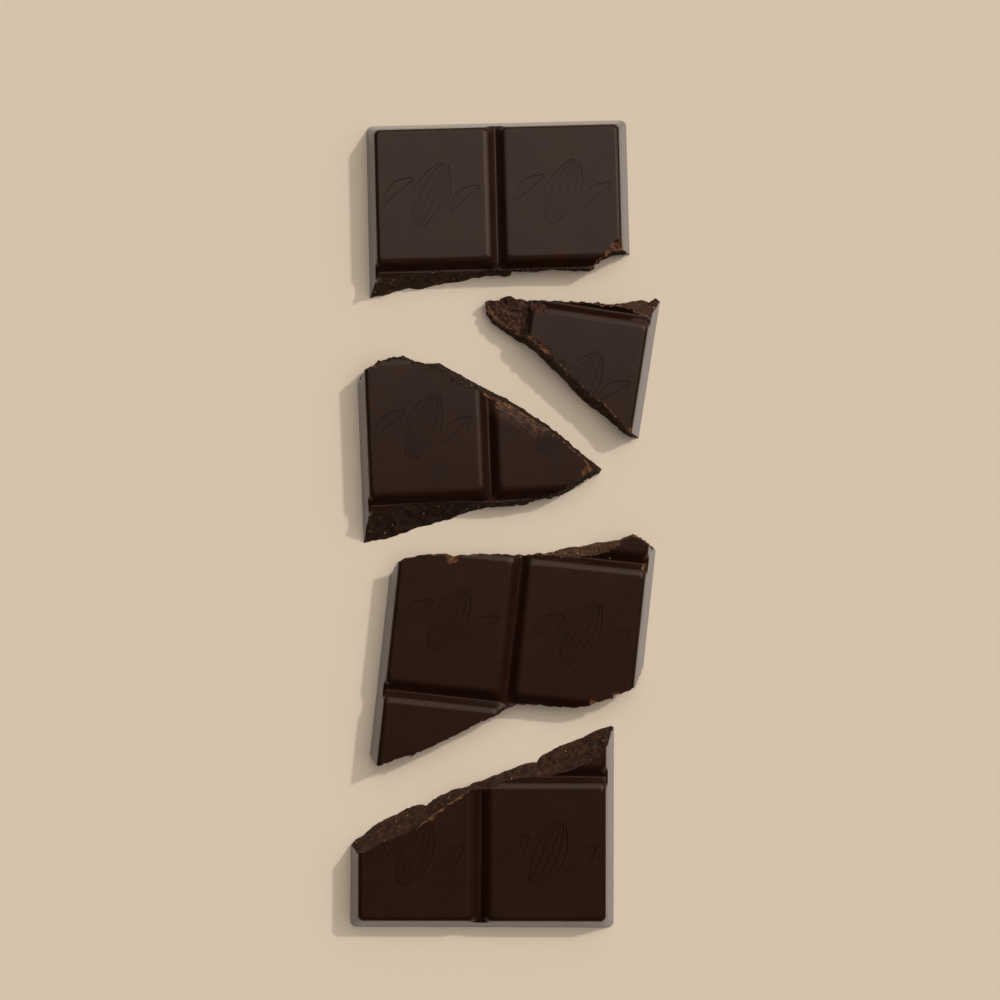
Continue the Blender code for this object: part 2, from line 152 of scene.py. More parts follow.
def block(name: str, low: Sequence[float], high: Sequence[float]) -> bpy.types.Object:
    """Adds a cube primitive that fills a box.

    Args:
        name: The object's name.
        low: Lowest corner.
        high: Highest corner.

    Returns:
        The object, with its size and place in its mesh.
    """
    middle = [(a + b) / 2 for a, b in zip(low, high)]
    size = [b - a for a, b in zip(low, high)]
    bpy.ops.mesh.primitive_cube_add(size=1.0, location=middle, scale=size)
    made = bpy.context.object
    made.name = name
    bpy.ops.object.transform_apply(location=True, rotation=True, scale=True)
    return made


def lift_top(piece: bpy.types.Object, low: Plan, high: Plan, height: float) -> None:
    """Draws a block's top face in, or to one side, so that it fills a smaller box in plan.

    Args:
        piece: The block.
        low: The smaller box's lowest plan corner.
        high: Its highest plan corner.
        height: Height of the block's top.
    """
    with editing(piece):
        pick_faces(piece, lambda middle, normal: normal.z > 0.9)
        shape = bmesh.from_edit_mesh(piece.data)
        top = [v.co for v in shape.verts if v.select]
        old_low = [min(c[i] for c in top) for i in (0, 1)]
        old_high = [max(c[i] for c in top) for i in (0, 1)]
        centre = [(a + b) / 2 for a, b in zip(old_low, old_high)]
        ratio = [(high[i] - low[i]) / (old_high[i] - old_low[i]) for i in (0, 1)]
        shift = [(high[i] + low[i]) / 2 - centre[i] for i in (0, 1)]
        bpy.ops.transform.resize(value=(*ratio, 1.0), center_override=(*centre, height))
        bpy.ops.transform.translate(value=(*shift, 0.0))


def bevel(width: float, segments: int) -> None:
    """Rounds the selected edges to one radius."""
    bpy.ops.mesh.bevel(offset=width, segments=segments, profile=0.5, affect="EDGES", clamp_overlap=True)


def boolean(body: bpy.types.Object, tool: bpy.types.Object, cut: Cut, solver: str = "MANIFOLD") -> None:
    """Cuts a body with one tool object, keeps the tool's materials on the new faces and removes the tool.

    Args:
        body: The body to cut or add to.
        tool: The closed object that does it.
        cut: What is done.
        solver: The modifier's solver.
    """
    step = body.modifiers.new(cut.value.lower(), "BOOLEAN")
    step.operation = cut.value
    step.solver = solver
    step.object = tool
    step.material_mode = "TRANSFER"
    pick_only(body)
    bpy.ops.object.modifier_apply(modifier=step.name)
    bpy.data.objects.remove(tool)


def join(pieces: Sequence[bpy.types.Object], name: str) -> bpy.types.Object:
    """Joins objects into the first one and names it.

    Args:
        pieces: The objects.
        name: The name of what they make.

    Returns:
        The first object, which now holds them all.
    """
    pick_only(pieces[0])
    for piece in pieces[1:]:
        piece.select_set(True)
    if len(pieces) > 1:
        bpy.ops.object.join()
    pieces[0].name = name
    return pieces[0]


def face_outwards(piece: bpy.types.Object) -> None:
    """Turns a closed mesh's faces outwards and makes them triangles."""
    with editing(piece):
        bpy.ops.mesh.select_all(action="SELECT")
        bpy.ops.mesh.normals_make_consistent(inside=False)
        bpy.ops.mesh.quads_convert_to_tris(quad_method="FIXED", ngon_method="BEAUTY")


@dataclass
class Grain:
    """The rough relief of snapped chocolate: the coarse crags of the solids and finer grit on them."""

    crag_size: float = 2.1
    dimension: float = 0.8
    lacunarity: float = 2.3
    octaves: int = 3
    grit_size: float = 0.55
    grit_octaves: int = 2

    def crag(self, place: Vector) -> float:
        """Coarse relief at a place in millimetres, from about -1 to 1."""
        return noise.fractal(place / self.crag_size, self.dimension, self.lacunarity, self.octaves)

    def grit(self, place: Vector) -> float:
        """Fine relief at a place in millimetres, from about -1 to 1."""
        return noise.fractal(place / self.grit_size, self.dimension, self.lacunarity, self.grit_octaves)


@dataclass
class MouldedBar:
    """The unbroken bar: a drafted slab that carries two columns of four drafted squares."""

    width: float = 68.0
    length: float = 156.8
    thickness: float = 8.0
    rows: int = 4
    side_draft: float = 2.45
    corner_radius: float = 1.6
    column_groove_x: float = -0.4
    groove_half: float = 2.3
    floor_half: float = 0.25
    floor_z: float = 5.8
    overlap: float = 0.5
    parting_step: float = 0.03
    square_corner: float = 1.4
    fillet: float = 1.15
    fillet_segments: int = 6
    corner_segments: int = 6
    side_slope: float = 0.42

    @property
    def row_pitch(self) -> float:
        """Distance from one row groove to the next."""
        return self.length / self.rows

    def surface_height(self, x: float, y: float) -> float:
        """Height of the moulded top over a plan point, never under the groove floor.

        Args:
            x: Place across the bar.
            y: Place along the bar.

        Returns:
            The height in millimetres.
        """
        rise = self.thickness / self.side_draft
        slope = (self.thickness - self.floor_z) / (self.groove_half - self.floor_half)
        heights = [self.thickness, (self.width / 2 - abs(x)) * rise, (self.length / 2 - abs(y)) * rise]
        for offset in [x - self.column_groove_x] + [y - row * self.row_pitch for row in (-1, 0, 1)]:
            heights.append(self.floor_z + max(abs(offset) - self.floor_half, 0.0) * slope)
        return max(min(heights), self.floor_z)

    def _slab(self) -> bpy.types.Object:
        """The drafted base up to the groove floors."""
        half_w, half_l = self.width / 2, self.length / 2
        inset = self.side_draft * self.floor_z / self.thickness
        slab = block("slab", (-half_w, -half_l, 0.0), (half_w, half_l, self.floor_z))
        lift_top(slab, (-half_w + inset, -half_l + inset), (half_w - inset, half_l - inset), self.floor_z)
        with editing(slab):
            pick_edges(slab, lambda a, b: abs(a.z - b.z) > 1.0)
            bevel(self.corner_radius, self.corner_segments)
        return slab

    def _square(self, column: int, row: int) -> bpy.types.Object:
        """One drafted square with rounded corners and a soft upper edge.

        Args:
            column: Its column, from the left.
            row: Its row, from the bottom.

        Returns:
            The closed square, sunk a little into the slab.
        """
        half_w, half_l = self.width / 2, self.length / 2
        low = [(-half_w, self.column_groove_x)[column], -half_l + row * self.row_pitch]
        high = [(self.column_groove_x, half_w)[column], low[1] + self.row_pitch]
        outer_low = (column == 0, row == 0)
        outer_high = (column == 1, row == self.rows - 1)
        slope = (self.groove_half - self.floor_half) / (self.thickness - self.floor_z)

        def box_at(z: float) -> tuple[Plan, Plan]:
            """Lowest and highest plan corner of the square at a height."""
            groove = self.floor_half + slope * (z - self.floor_z)
            side = self.side_draft * z / self.thickness + self.parting_step
            start = [low[i] + (side if outer_low[i] else groove) for i in (0, 1)]
            end = [high[i] - (side if outer_high[i] else groove) for i in (0, 1)]
            return (start[0], start[1]), (end[0], end[1])

        foot = self.floor_z - self.overlap
        base_low, base_high = box_at(foot)
        square = block("square", (*base_low, foot), (*base_high, self.thickness))
        lift_top(square, *box_at(self.thickness), self.thickness)
        reach = Vector((half_w, half_l))
        with editing(square):
            pick_edges(square, lambda a, b: abs(a.z - b.z) > 1.0 and not self._at_bar_corner(a, reach))
            bevel(self.square_corner, self.corner_segments)
            pick_edges(square, lambda a, b: abs(a.z - b.z) > 1.0 and self._at_bar_corner(a, reach))
            bevel(self.corner_radius, self.corner_segments)
            pick_edges(square, lambda a, b: min(a.z, b.z) > self.thickness - 0.01)
            bevel(self.fillet, self.fillet_segments)
        return square

    def _at_bar_corner(self, place: Vector, reach: Vector) -> bool:
        """Whether a place is beside one of the whole bar's four corners."""
        near = self.side_draft + self.parting_step + 0.1
        return abs(abs(place.x) - reach.x) < near and abs(abs(place.y) - reach.y) < near

    def _dress(self, bar: bpy.types.Object, skins: Sequence[bpy.types.Material]) -> None:
        """Gives the moulded faces their finish, and the drafted sides theirs.

        Args:
            bar: The moulded bar.
            skins: The two finishes.
        """
        bar.data.materials.clear()
        for skin in skins:
            bar.data.materials.append(skin)
        reach = (self.width / 2 - self.side_draft - 0.4, self.length / 2 - self.side_draft - 0.4)
        for face in bar.data.polygons:
            outer = abs(face.center.x) > reach[0] or abs(face.center.y) > reach[1]
            steep = abs(face.normal.z) < self.side_slope
            face.material_index = (Surface.SIDE if outer and steep else Surface.MOULDED).value

    def build(self, motif: "PodMotif", skins: Sequence[bpy.types.Material]) -> bpy.types.Object:
        """Models the bar and presses the motif into each square.

        Args:
            motif: The relief that goes into each square.
            skins: The finishes of the moulded faces and of the drafted sides.

        Returns:
            The closed bar, in millimetres, in its own plan.
        """
        bar = self._slab()
        squares = [self._square(column, row) for column in (0, 1) for row in range(self.rows)]
        for square in squares:
            boolean(bar, square, Cut.ADD, "EXACT")
        middles = [
            ((self.column_groove_x + side * self.width / 2) / 2, -self.length / 2 + (row + 0.5) * self.row_pitch)
            for side in (-1, 1)
            for row in range(self.rows)
        ]
        cutter = join([part for middle in middles for part in motif.cutters(middle, self.thickness)], "motif")
        boolean(bar, cutter, Cut.CARVE, "EXACT")
        bar.name = "moulded_bar"
        face_outwards(bar)
        self._dress(bar, skins)
        LOG.info("moulded bar: %d faces", len(bar.data.polygons))
        return bar


@dataclass
class PodMotif:
    """A plain cocoa pod with ribs and a leaf each side, pressed shallowly into a square."""

    depth: float = 0.42
    draft: float = 0.96
    pod_length: float = 21.0
    pod_half_width: float = 4.9
    pod_swell: float = 0.85
    pod_turn: float = math.radians(-24.0)
    ribs: tuple[float, ...] = (-1.0, -0.6, -0.2, 0.2, 0.6, 1.0)
    rib_half: float = 0.22
    leaf_length: float = 10.6
    leaf_half_width: float = 2.3
    leaf_gap: float = 1.1
    points: int = 44

    def _lens(
        self, left: Callable[[float], float], right: Callable[[float], float], length: float, tip: float
    ) -> list[Plan]:
        """Outline of a shape that runs along Y between two edges.

        Args:
            left: Edge as a function of the share of the length.
            right: The other edge.
            length: Full length.
            tip: Share of the length at which the two edges meet.

        Returns:
            Points round the outline, one for each vertex of a circle primitive.
        """
        outline = []
        for n in range(self.points):
            angle = 2 * math.pi * n / self.points
            share = tip + (1 - 2 * tip) * (1 - math.cos(angle)) / 2
            edge = right if math.sin(angle) >= 0 else left
            outline.append((edge(share), (share - 0.5) * length))
        return outline

    def _press(self, outline: Sequence[Plan], turn: float, place: Plan, top: float) -> bpy.types.Object:
        """Makes one closed cutter from an outline.

        Args:
            outline: Points of the recess's rim.
            turn: Turn in plan, in radians.
            place: Where its middle goes.
            top: The square's height.

        Returns:
            The cutter, from above the square down to the recess's floor.
        """
        bpy.ops.mesh.primitive_circle_add(vertices=self.points, radius=1.0, fill_type="NGON", location=(0, 0, 0))
        made = bpy.context.object
        rotate = Matrix.Rotation(turn, 2)
        ring = sorted(made.data.vertices, key=lambda v: math.atan2(v.co.y, v.co.x) % (2 * math.pi))
        for vertex, (x, y) in zip(ring, outline):
            spot = rotate @ Vector((x, y))
            vertex.co = (place[0] + spot.x, place[1] + spot.y, top + self.depth)
        centre = [sum(v.co[i] for v in ring) / len(ring) for i in (0, 1)]
        with editing(made):
            bpy.ops.mesh.select_all(action="SELECT")
            bpy.ops.mesh.extrude_region_move(TRANSFORM_OT_translate={"value": (0.0, 0.0, -2 * self.depth)})
            bpy.ops.transform.resize(value=(self.draft, self.draft, 1.0), center_override=(*centre, top - self.depth))
        face_outwards(made)
        return made

    def _pod_edge(self, rib: float, inward: float) -> Callable[[float], float]:
        """One edge of a lobe between two ribs of the pod."""
        return lambda share: rib * self.pod_half_width * math.sin(math.pi * share) ** self.pod_swell + inward

    def cutters(self, middle: Plan, top: float) -> list[bpy.types.Object]:
        """Makes the cutters for one square.

        Args:
            middle: The square's middle in plan.
            top: The square's height.

        Returns:
            The closed cutters: the pod's lobes and the halves of its leaves.
        """
        made = []
        for start, end in zip(self.ribs, self.ribs[1:]):
            edges = (self._pod_edge(start, self.rib_half), self._pod_edge(end, -self.rib_half))
            meet = 2 * self.rib_half / ((end - start) * self.pod_half_width)
            tip = math.asin(meet ** (1 / self.pod_swell)) / math.pi
            outline = self._lens(*edges, self.pod_length, tip)
            made.append(self._press(outline, self.pod_turn, middle, top))
        reach = self.pod_half_width + self.leaf_half_width + self.leaf_gap
        for side in (-1, 1):
            along = Vector((side * reach, side * 2.4))
            spot = Matrix.Rotation(self.pod_turn, 2) @ along
            place = (middle[0] + spot.x, middle[1] + spot.y)
            turn = self.pod_turn - math.radians(26.0)
            for half in (-1, 1):
                inner = lambda share, h=half: h * self.rib_half * 0.8
                outer = lambda share, h=half: h * (self.rib_half + self.leaf_half_width * math.sin(math.pi * share))
                pair = (outer, inner) if half < 0 else (inner, outer)
                made.append(self._press(self._lens(*pair, self.leaf_length, 0.0), turn, place, top))
        return made


@dataclass
class CrackPrism:
    """The upright body that a fragment keeps of the bar, with fine rough walls along its cracks."""

    bar: MouldedBar
    grain: Grain
    step: float = 0.3
    levels: int = 23
    margin: float = 1.0
    edge_depth: float = 0.16
    face_depth: float = 0.5
    gain: float = 1.6
    grit_depth: float = 0.085
    rim_jag: float = 0.07
    crack_seed_step: float = 7.3

    def _columns(self, crack: Sequence[CrackRow]) -> list[list[float]]:
        """Splits a crack line into even fine steps.

        Args:
            crack: Rows of base x, base y, top x and top y.

        Returns:
            The same line in rows about one step apart.
        """
        columns = []
        for start, end in zip(crack, crack[1:]):
            length = max(math.dist(start[:2], end[:2]), math.dist(start[2:], end[2:]))
            steps = max(1, round(length / self.step))
            for n in range(steps):
                columns.append([a + (b - a) * n / steps for a, b in zip(start, end)])
        columns.append(list(crack[-1]))
        return columns

    def _walls(self, crack: Sequence[CrackRow], seed: float) -> list[list[Vector]]:
        """Gives each step of a crack line its column of rough points, from under the base to over the top.

        Args:
            crack: Rows of base x, base y, top x and top y.
            seed: Offset of the coarse relief.

        Returns:
            The columns of points, in order along the crack.
        """
        columns = self._columns(crack)
        walls = []
        for n, (base_x, base_y, top_x, top_y) in enumerate(columns):
            before = columns[max(n - 3, 0)]
            after = columns[min(n + 3, len(columns) - 1)]
            along = Vector((after[0] + after[2] - before[0] - before[2], after[1] + after[3] - before[1] - before[3]))
            along.normalize()
            outward = Vector((along.y, -along.x))
            reach = self.bar.surface_height(top_x, top_y)
            wall = []
            for level in range(self.levels):
                share = level / (self.levels - 1)
                spot = Vector((base_x + (top_x - base_x) * share, base_y + (top_y - base_y) * share, reach * share))
                bulge = math.sin(math.pi * share)
                depth = self.edge_depth + (self.face_depth - self.edge_depth) * bulge
                push = self.gain * depth * self.grain.crag(Vector((spot.x + seed, spot.y, spot.z + seed)))
                push += (self.rim_jag + self.grit_depth * bulge) * self.grain.grit(spot)
                wall.append(Vector((spot.x + outward.x * push, spot.y + outward.y * push, spot.z)))
            wall.insert(0, Vector((wall[0].x, wall[0].y, -self.margin)))
            wall.append(Vector((wall[-1].x, wall[-1].y, self.bar.thickness + self.margin)))
            walls.append(wall)
        return walls

    def build(
        self, cracks: Sequence[Sequence[CrackRow]], seed: float, material: bpy.types.Material
    ) -> bpy.types.Object:
        """Models the prism.

        Args:
            cracks: Crack lines in order, and short plain runs outside the bar.
            seed: Offset of the coarse relief, the same as the solids have.
            material: Finish of the crack walls.

        Returns:
            The closed prism.
        """
        columns: list[list[Vector]] = []
        for n, crack in enumerate(cracks):
            if len(crack) > 2:
                columns += self._walls(crack, seed + self.crack_seed_step * n)
            else:
                top = self.bar.thickness
                levels = [-self.margin, *(top * k / (self.levels - 1) for k in range(self.levels)), top + self.margin]
                columns += [[Vector((row[0], row[1], z)) for z in levels] for row in crack]
        count = len(columns)
        bpy.ops.mesh.primitive_circle_add(vertices=count, radius=100.0, fill_type="NGON", location=(0, 0, 0))
        made = bpy.context.object
        with editing(made):
            bpy.ops.mesh.select_all(action="SELECT")
            for _ in range(self.levels + 1):
                bpy.ops.mesh.extrude_region_move(TRANSFORM_OT_translate={"value": (0.0, 0.0, 1.0)})
        for vertex in made.data.vertices:
            turn = math.atan2(-vertex.co.x, vertex.co.y) % (2 * math.pi)
            vertex.co = columns[round(turn / (2 * math.pi) * count) % count][round(vertex.co.z)]
        made.data.materials.append(material)
        face_outwards(made)
        return made


@dataclass
class Chip:
    """A rough squashed bite that takes a flake off a rim."""

    place: tuple[float, float, float]
    radius: float
    squash: float = 0.75
    lumps: float = 1.7
    roughness: float = 0.3
    stretch: float = 1.0
    turn: float = 0.0

    def build(self, material: bpy.types.Material, finer: int) -> bpy.types.Object:
        """Models the bite.

        Args:
            material: Finish of the face that it leaves.
            finer: Subdivisions of the ball it starts from.

        Returns:
            The closed cutter.
        """
        bpy.ops.mesh.primitive_ico_sphere_add(subdivisions=finer, radius=self.radius, location=(0, 0, 0))
        made = bpy.context.object
        middle = Vector(self.place)
        shape = Matrix.Rotation(self.turn, 3, "Z") @ Matrix.Diagonal((self.stretch, 1.0, self.squash))
        for vertex in made.data.vertices:
            swell = 1.0 + self.roughness * noise.noise(vertex.co * self.lumps + middle)
            swell += 0.35 * self.roughness * noise.noise(vertex.co * self.lumps * 3.1 / self.radius + middle)
            vertex.co = middle + shape @ (vertex.co * swell)
        made.data.materials.append(material)
        return made


@dataclass
class TipFacet:
    """The rough slope left where the moulded face broke off the upper right fragment's tip."""

    bar: MouldedBar
    grain: Grain
    edge_x: float = 0.5
    edge_wave: float = 0.8
    rim_z: float = 5.6
    fall: float = 0.22
    reach: float = 12.0
    low_y: float = 26.0
    high_y: float = 42.0
    step: float = 0.25
    roughness: float = 0.7
    grit_depth: float = 0.12

    def _edge(self, y: float) -> float:
        """Where the slope starts across the bar, a little further in or out all along."""
        return self.edge_x + self.edge_wave * self.grain.crag(Vector((0.0, y, 4.0)))

    def height(self, x: float, y: float) -> float:
        """Height of the slope over a plan point, and over the whole bar beside it."""
        away = self._edge(y) - x
        if away < 0:
            return self.bar.thickness + 1.0
        spot = Vector((x, y, 0.0))
        rough = self.roughness * self.grain.crag(spot) + self.grit_depth * self.grain.grit(spot)
        return self.rim_z - away * self.fall + rough * min(away, 1.0)

    def build(self, material: bpy.types.Material) -> bpy.types.Object:
        """Models the block whose underside leaves the slope.

        Args:
            material: Finish of the slope.

        Returns:
            The closed cutter.
        """
        across = round(self.reach / self.step)
        along = round((self.high_y - self.low_y) / self.step)
        bpy.ops.mesh.primitive_grid_add(x_subdivisions=across, y_subdivisions=along, size=1.0, location=(0, 0, 0))
        made = bpy.context.object
        with editing(made):
            bpy.ops.mesh.select_all(action="SELECT")
            bpy.ops.mesh.extrude_region_move(TRANSFORM_OT_translate={"value": (0.0, 0.0, 1.0)})
        for vertex in made.data.vertices:
            y = self.low_y + (vertex.co.y + 0.5) * (self.high_y - self.low_y)
            x = self._edge(y) - (0.5 - vertex.co.x) * self.reach
            vertex.co = (x, y, self.height(x - 0.0001, y) if vertex.co.z < 0.5 else self.bar.thickness + 1.0)
        made.data.materials.append(material)
        face_outwards(made)
        return made


@dataclass
class Node:
    """Adds shader nodes to one material and wires them."""

    material: bpy.types.Material

    def add(self, kind: str, settings: dict[str, object] | None = None, **inputs: object) -> bpy.types.Node:
        """Adds a node.

        Args:
            kind: Blender's node type.
            settings: Properties to set on it.
            **inputs: Values or output sockets for its inputs, named with underscores for spaces, or i0, i1 by place.

        Returns:
            The node.
        """
        tree = self.material.node_tree
        made = tree.nodes.new(kind)
        for name, value in (settings or {}).items():
            setattr(made, name, value)
        for name, value in inputs.items():
            by_place = name[0] == "i" and name[1:].isdigit()
            socket = made.inputs[int(name[1:])] if by_place else made.inputs[name.replace("_", " ")]
            if isinstance(value, bpy.types.NodeSocket):
                tree.links.new(value, socket)
            else:
                socket.default_value = value
        return made


def new_material(name: str) -> tuple[bpy.types.Material, Node, bpy.types.Node, bpy.types.NodeSocket]:
    """Starts a material.

    Args:
        name: What the real finish is.

    Returns:
        The material, its node adder, its shader, and the object's coordinates in millimetres.
    """
    material = bpy.data.materials.new(name)
    material.use_nodes = True
    nodes = Node(material)
    shader = material.node_tree.nodes["Principled BSDF"]
    where = nodes.add("ShaderNodeTexCoord").outputs["Object"]
    scale = 1 / MM
    place = nodes.add("ShaderNodeMapping", i0=where, Scale=(scale, scale, scale)).outputs[0]
    return material, nodes, shader, place


@dataclass(frozen=True)
class RubbedBand:
    """The strip beside the middle fragment's long break, where the moulded face is scraped dull and pale.

    Its frame lies along the break, in the frame's millimetres: the strip runs along X and fades out towards -Y.
    """

    place: Plan = (3.6, 27.7)
    turn: float = math.radians(-25.0)
    half_length: float = 10.5
    width: float = 7.0
    far_side: float = 2.5
    streak_mm: float = 0.36
    stretch: float = 0.16

    def add(self, nodes: Node, place: bpy.types.NodeSocket) -> tuple[bpy.types.NodeSocket, bpy.types.NodeSocket]:
        """Adds the strip's nodes.

        Args:
            nodes: The material's node adder.
            place: The object's coordinates in millimetres.

        Returns:
            How scraped each point is, and the streaks in it.
        """
        own = nodes.add("ShaderNodeMapping", {"vector_type": "TEXTURE"}, i0=place, Location=(*self.place, 0.0),
                        Rotation=(0.0, 0.0, self.turn)).outputs[0]
        parts = nodes.add("ShaderNodeSeparateXYZ", i0=own)
        along = nodes.add("ShaderNodeMath", {"operation": "ABSOLUTE"}, i0=parts.outputs[0])
        inside = nodes.add("ShaderNodeMapRange", Value=along.outputs[0], From_Min=self.half_length - 3.0,
                           From_Max=self.half_length, To_Min=1.0, To_Max=0.0)
        across = nodes.add("ShaderNodeMapRange", Value=parts.outputs[1], From_Min=-self.width, From_Max=0.0)
        drawn = nodes.add("ShaderNodeMapping", i0=own, Scale=(self.stretch, 1.0, 1.0))
        streak = nodes.add("ShaderNodeTexNoise", i0=drawn.outputs[0], Scale=1 / self.streak_mm, Detail=4.0,
                           Roughness=0.65).outputs[0]
        near = nodes.add("ShaderNodeMapRange", Value=parts.outputs[1], From_Min=self.far_side,
                         From_Max=self.far_side + 0.5, To_Min=1.0, To_Max=0.0)
        reach = nodes.add("ShaderNodeMath", {"operation": "MULTIPLY"}, i0=inside.outputs[0], i1=across.outputs[0])
        reach = nodes.add("ShaderNodeMath", {"operation": "MULTIPLY"}, i0=reach.outputs[0], i1=near.outputs[0])
        level = nodes.add("ShaderNodeMath", {"operation": "ADD"}, i0=reach.outputs[0], i1=streak)
        worn = nodes.add("ShaderNodeMapRange", Value=level.outputs[0], From_Min=0.98, From_Max=1.6)
        return worn.outputs[0], streak


@dataclass(frozen=True)
class MouldedSkin:
    """Tempered dark chocolate as a polished mould leaves it: an even satin brown with a very fine grain."""

    dark: str = "1d0d06"
    light: str = "271309"
    scraped_dark: str = "2c1b11"
    scraped_light: str = "80583c"
    sheen_tint: str = "ffe2d1"
    bloom_tint: str = "e4ddda"
    bloom: float = 0.0
    bloom_roughness: float = 0.7
    gloss: float = 0.5
    roughness: float = 0.29
    mottle_mm: float = 9.0
    grain_mm: float = 0.45
    band: RubbedBand | None = None

    def build(self, name: str) -> bpy.types.Material:
        """Makes the material.

        Args:
            name: What the real finish is.

        Returns:
            The material.
        """
        material, nodes, shader, place = new_material(name)
        tree = material.node_tree
        mottle = nodes.add("ShaderNodeTexNoise", i0=place, Scale=1 / self.mottle_mm, Detail=2.0, Roughness=0.5)
        fine = nodes.add("ShaderNodeTexNoise", i0=place, Scale=1 / self.grain_mm, Detail=2.0, Roughness=0.6)
        blend = nodes.add("ShaderNodeMath", {"operation": "MULTIPLY_ADD"}, i0=fine.outputs[0], i1=1.6,
                          i2=mottle.outputs[0])
        span = nodes.add("ShaderNodeMapRange", Value=blend.outputs[0], From_Min=0.9, From_Max=1.7)
        colour = nodes.add("ShaderNodeMix", {"data_type": "RGBA"}, i0=span.outputs[0], i6=linear(self.dark),
                           i7=linear(self.light)).outputs[2]
        rough = nodes.add("ShaderNodeMapRange", Value=fine.outputs[0], From_Min=0.3, From_Max=0.7,
                          To_Min=self.roughness - 0.02, To_Max=self.roughness + 0.02).outputs[0]
        bump = nodes.add("ShaderNodeBump", Strength=0.2, Distance=0.00002, Height=fine.outputs[0])
        if self.band:
            worn, streak = self.band.add(nodes, place)
            shade = nodes.add("ShaderNodeMapRange", Value=streak, From_Min=0.42, From_Max=0.68)
            scraped = nodes.add("ShaderNodeMix", {"data_type": "RGBA"}, i0=shade.outputs[0],
                                i6=linear(self.scraped_dark), i7=linear(self.scraped_light))
            colour = nodes.add("ShaderNodeMix", {"data_type": "RGBA"}, i0=worn, i6=colour,
                               i7=scraped.outputs[2]).outputs[2]
            rough = nodes.add("ShaderNodeMix", {"data_type": "FLOAT"}, i0=worn, i2=rough, i3=0.7).outputs[0]
            bump = nodes.add("ShaderNodeBump", Strength=0.5, Distance=0.0001, Height=worn, Normal=bump.outputs[0])
        tree.links.new(colour, shader.inputs["Base Color"])
        tree.links.new(rough, shader.inputs["Roughness"])
        tree.links.new(bump.outputs[0], shader.inputs["Normal"])
        shader.inputs["IOR"].default_value = 1.5
        shader.inputs["Specular IOR Level"].default_value = self.gloss
        shader.inputs["Specular Tint"].default_value = linear(self.sheen_tint)
        shader.inputs["Sheen Weight"].default_value = self.bloom
        shader.inputs["Sheen Roughness"].default_value = self.bloom_roughness
        shader.inputs["Sheen Tint"].default_value = linear(self.bloom_tint)
        return material


@dataclass(frozen=True)
class BrokenFace:
    """Snapped chocolate: a dull granular face, warm brown, with pale sugar and golden husk grains in it."""

    dark: str
    light: str
    grain: str = "7a5630"
    roughness: float = 0.75
    gloss: float = 0.25
    crag_mm: float = 1.3
    grain_mm: float = 0.32
    speck_mm: float = 0.85

    def build(self, name: str) -> bpy.types.Material:
        """Makes the material.

        Args:
            name: What the real finish is.

        Returns:
            The material.
        """
        material, nodes, shader, place = new_material(name)
        crag = nodes.add("ShaderNodeTexNoise", i0=place, Scale=1 / self.crag_mm, Detail=4.0, Roughness=0.7)
        fine = nodes.add("ShaderNodeTexNoise", i0=place, Scale=1 / self.grain_mm, Detail=2.0, Roughness=0.6)
        blend = nodes.add("ShaderNodeMath", {"operation": "MULTIPLY_ADD"}, i0=fine.outputs[0], i1=0.5,
                          i2=crag.outputs[0])
        span = nodes.add("ShaderNodeMapRange", Value=blend.outputs[0], From_Min=0.58, From_Max=0.96)
        tone = nodes.add("ShaderNodeMix", {"data_type": "RGBA"}, i0=span.outputs[0], i6=linear(self.dark),
                         i7=linear(self.light))
        cells = nodes.add("ShaderNodeTexVoronoi", i0=place, Scale=1 / self.speck_mm)
        near = nodes.add("ShaderNodeMapRange", Value=cells.outputs["Distance"], From_Min=0.12, From_Max=0.24,
                         To_Min=1.0, To_Max=0.0)
        lot = nodes.add("ShaderNodeSeparateColor", i0=cells.outputs["Color"])
        rare = nodes.add("ShaderNodeMath", {"operation": "GREATER_THAN"}, i0=lot.outputs[0], i1=0.9)
        speck = nodes.add("ShaderNodeMath", {"operation": "MULTIPLY"}, i0=near.outputs[0], i1=rare.outputs[0])
        colour = nodes.add("ShaderNodeMix", {"data_type": "RGBA"}, i0=speck.outputs[0], i6=tone.outputs[2],
                           i7=linear(self.grain))
        bump = nodes.add("ShaderNodeBump", Strength=0.7, Distance=0.00012, Height=blend.outputs[0])
        tree = material.node_tree
        tree.links.new(colour.outputs[2], shader.inputs["Base Color"])
        tree.links.new(bump.outputs[0], shader.inputs["Normal"])
        shader.inputs["Roughness"].default_value = self.roughness
        shader.inputs["Specular IOR Level"].default_value = self.gloss
        return material


@dataclass(frozen=True)
class GrainFinish:
    """Loose crushed bean and husk grains: dull, golden to red brown, each grain its own shade."""

    dark: str = "5a3a20"
    light: str = "b08a4a"
    roughness: float = 0.6
    shade_mm: float = 0.9

    def build(self, name: str) -> bpy.types.Material:
        """Makes the material.

        Args:
            name: What the real finish is.

        Returns:
            The material.
        """
        material, nodes, shader, place = new_material(name)
        shade = nodes.add("ShaderNodeTexNoise", i0=place, Scale=1 / self.shade_mm, Detail=2.0, Roughness=0.7)
        span = nodes.add("ShaderNodeMapRange", Value=shade.outputs[0], From_Min=0.35, From_Max=0.65)
        tone = nodes.add("ShaderNodeMix", {"data_type": "RGBA"}, i0=span.outputs[0], i6=linear(self.dark),
                         i7=linear(self.light))
        material.node_tree.links.new(tone.outputs[2], shader.inputs["Base Color"])
        shader.inputs["Roughness"].default_value = self.roughness
        return material


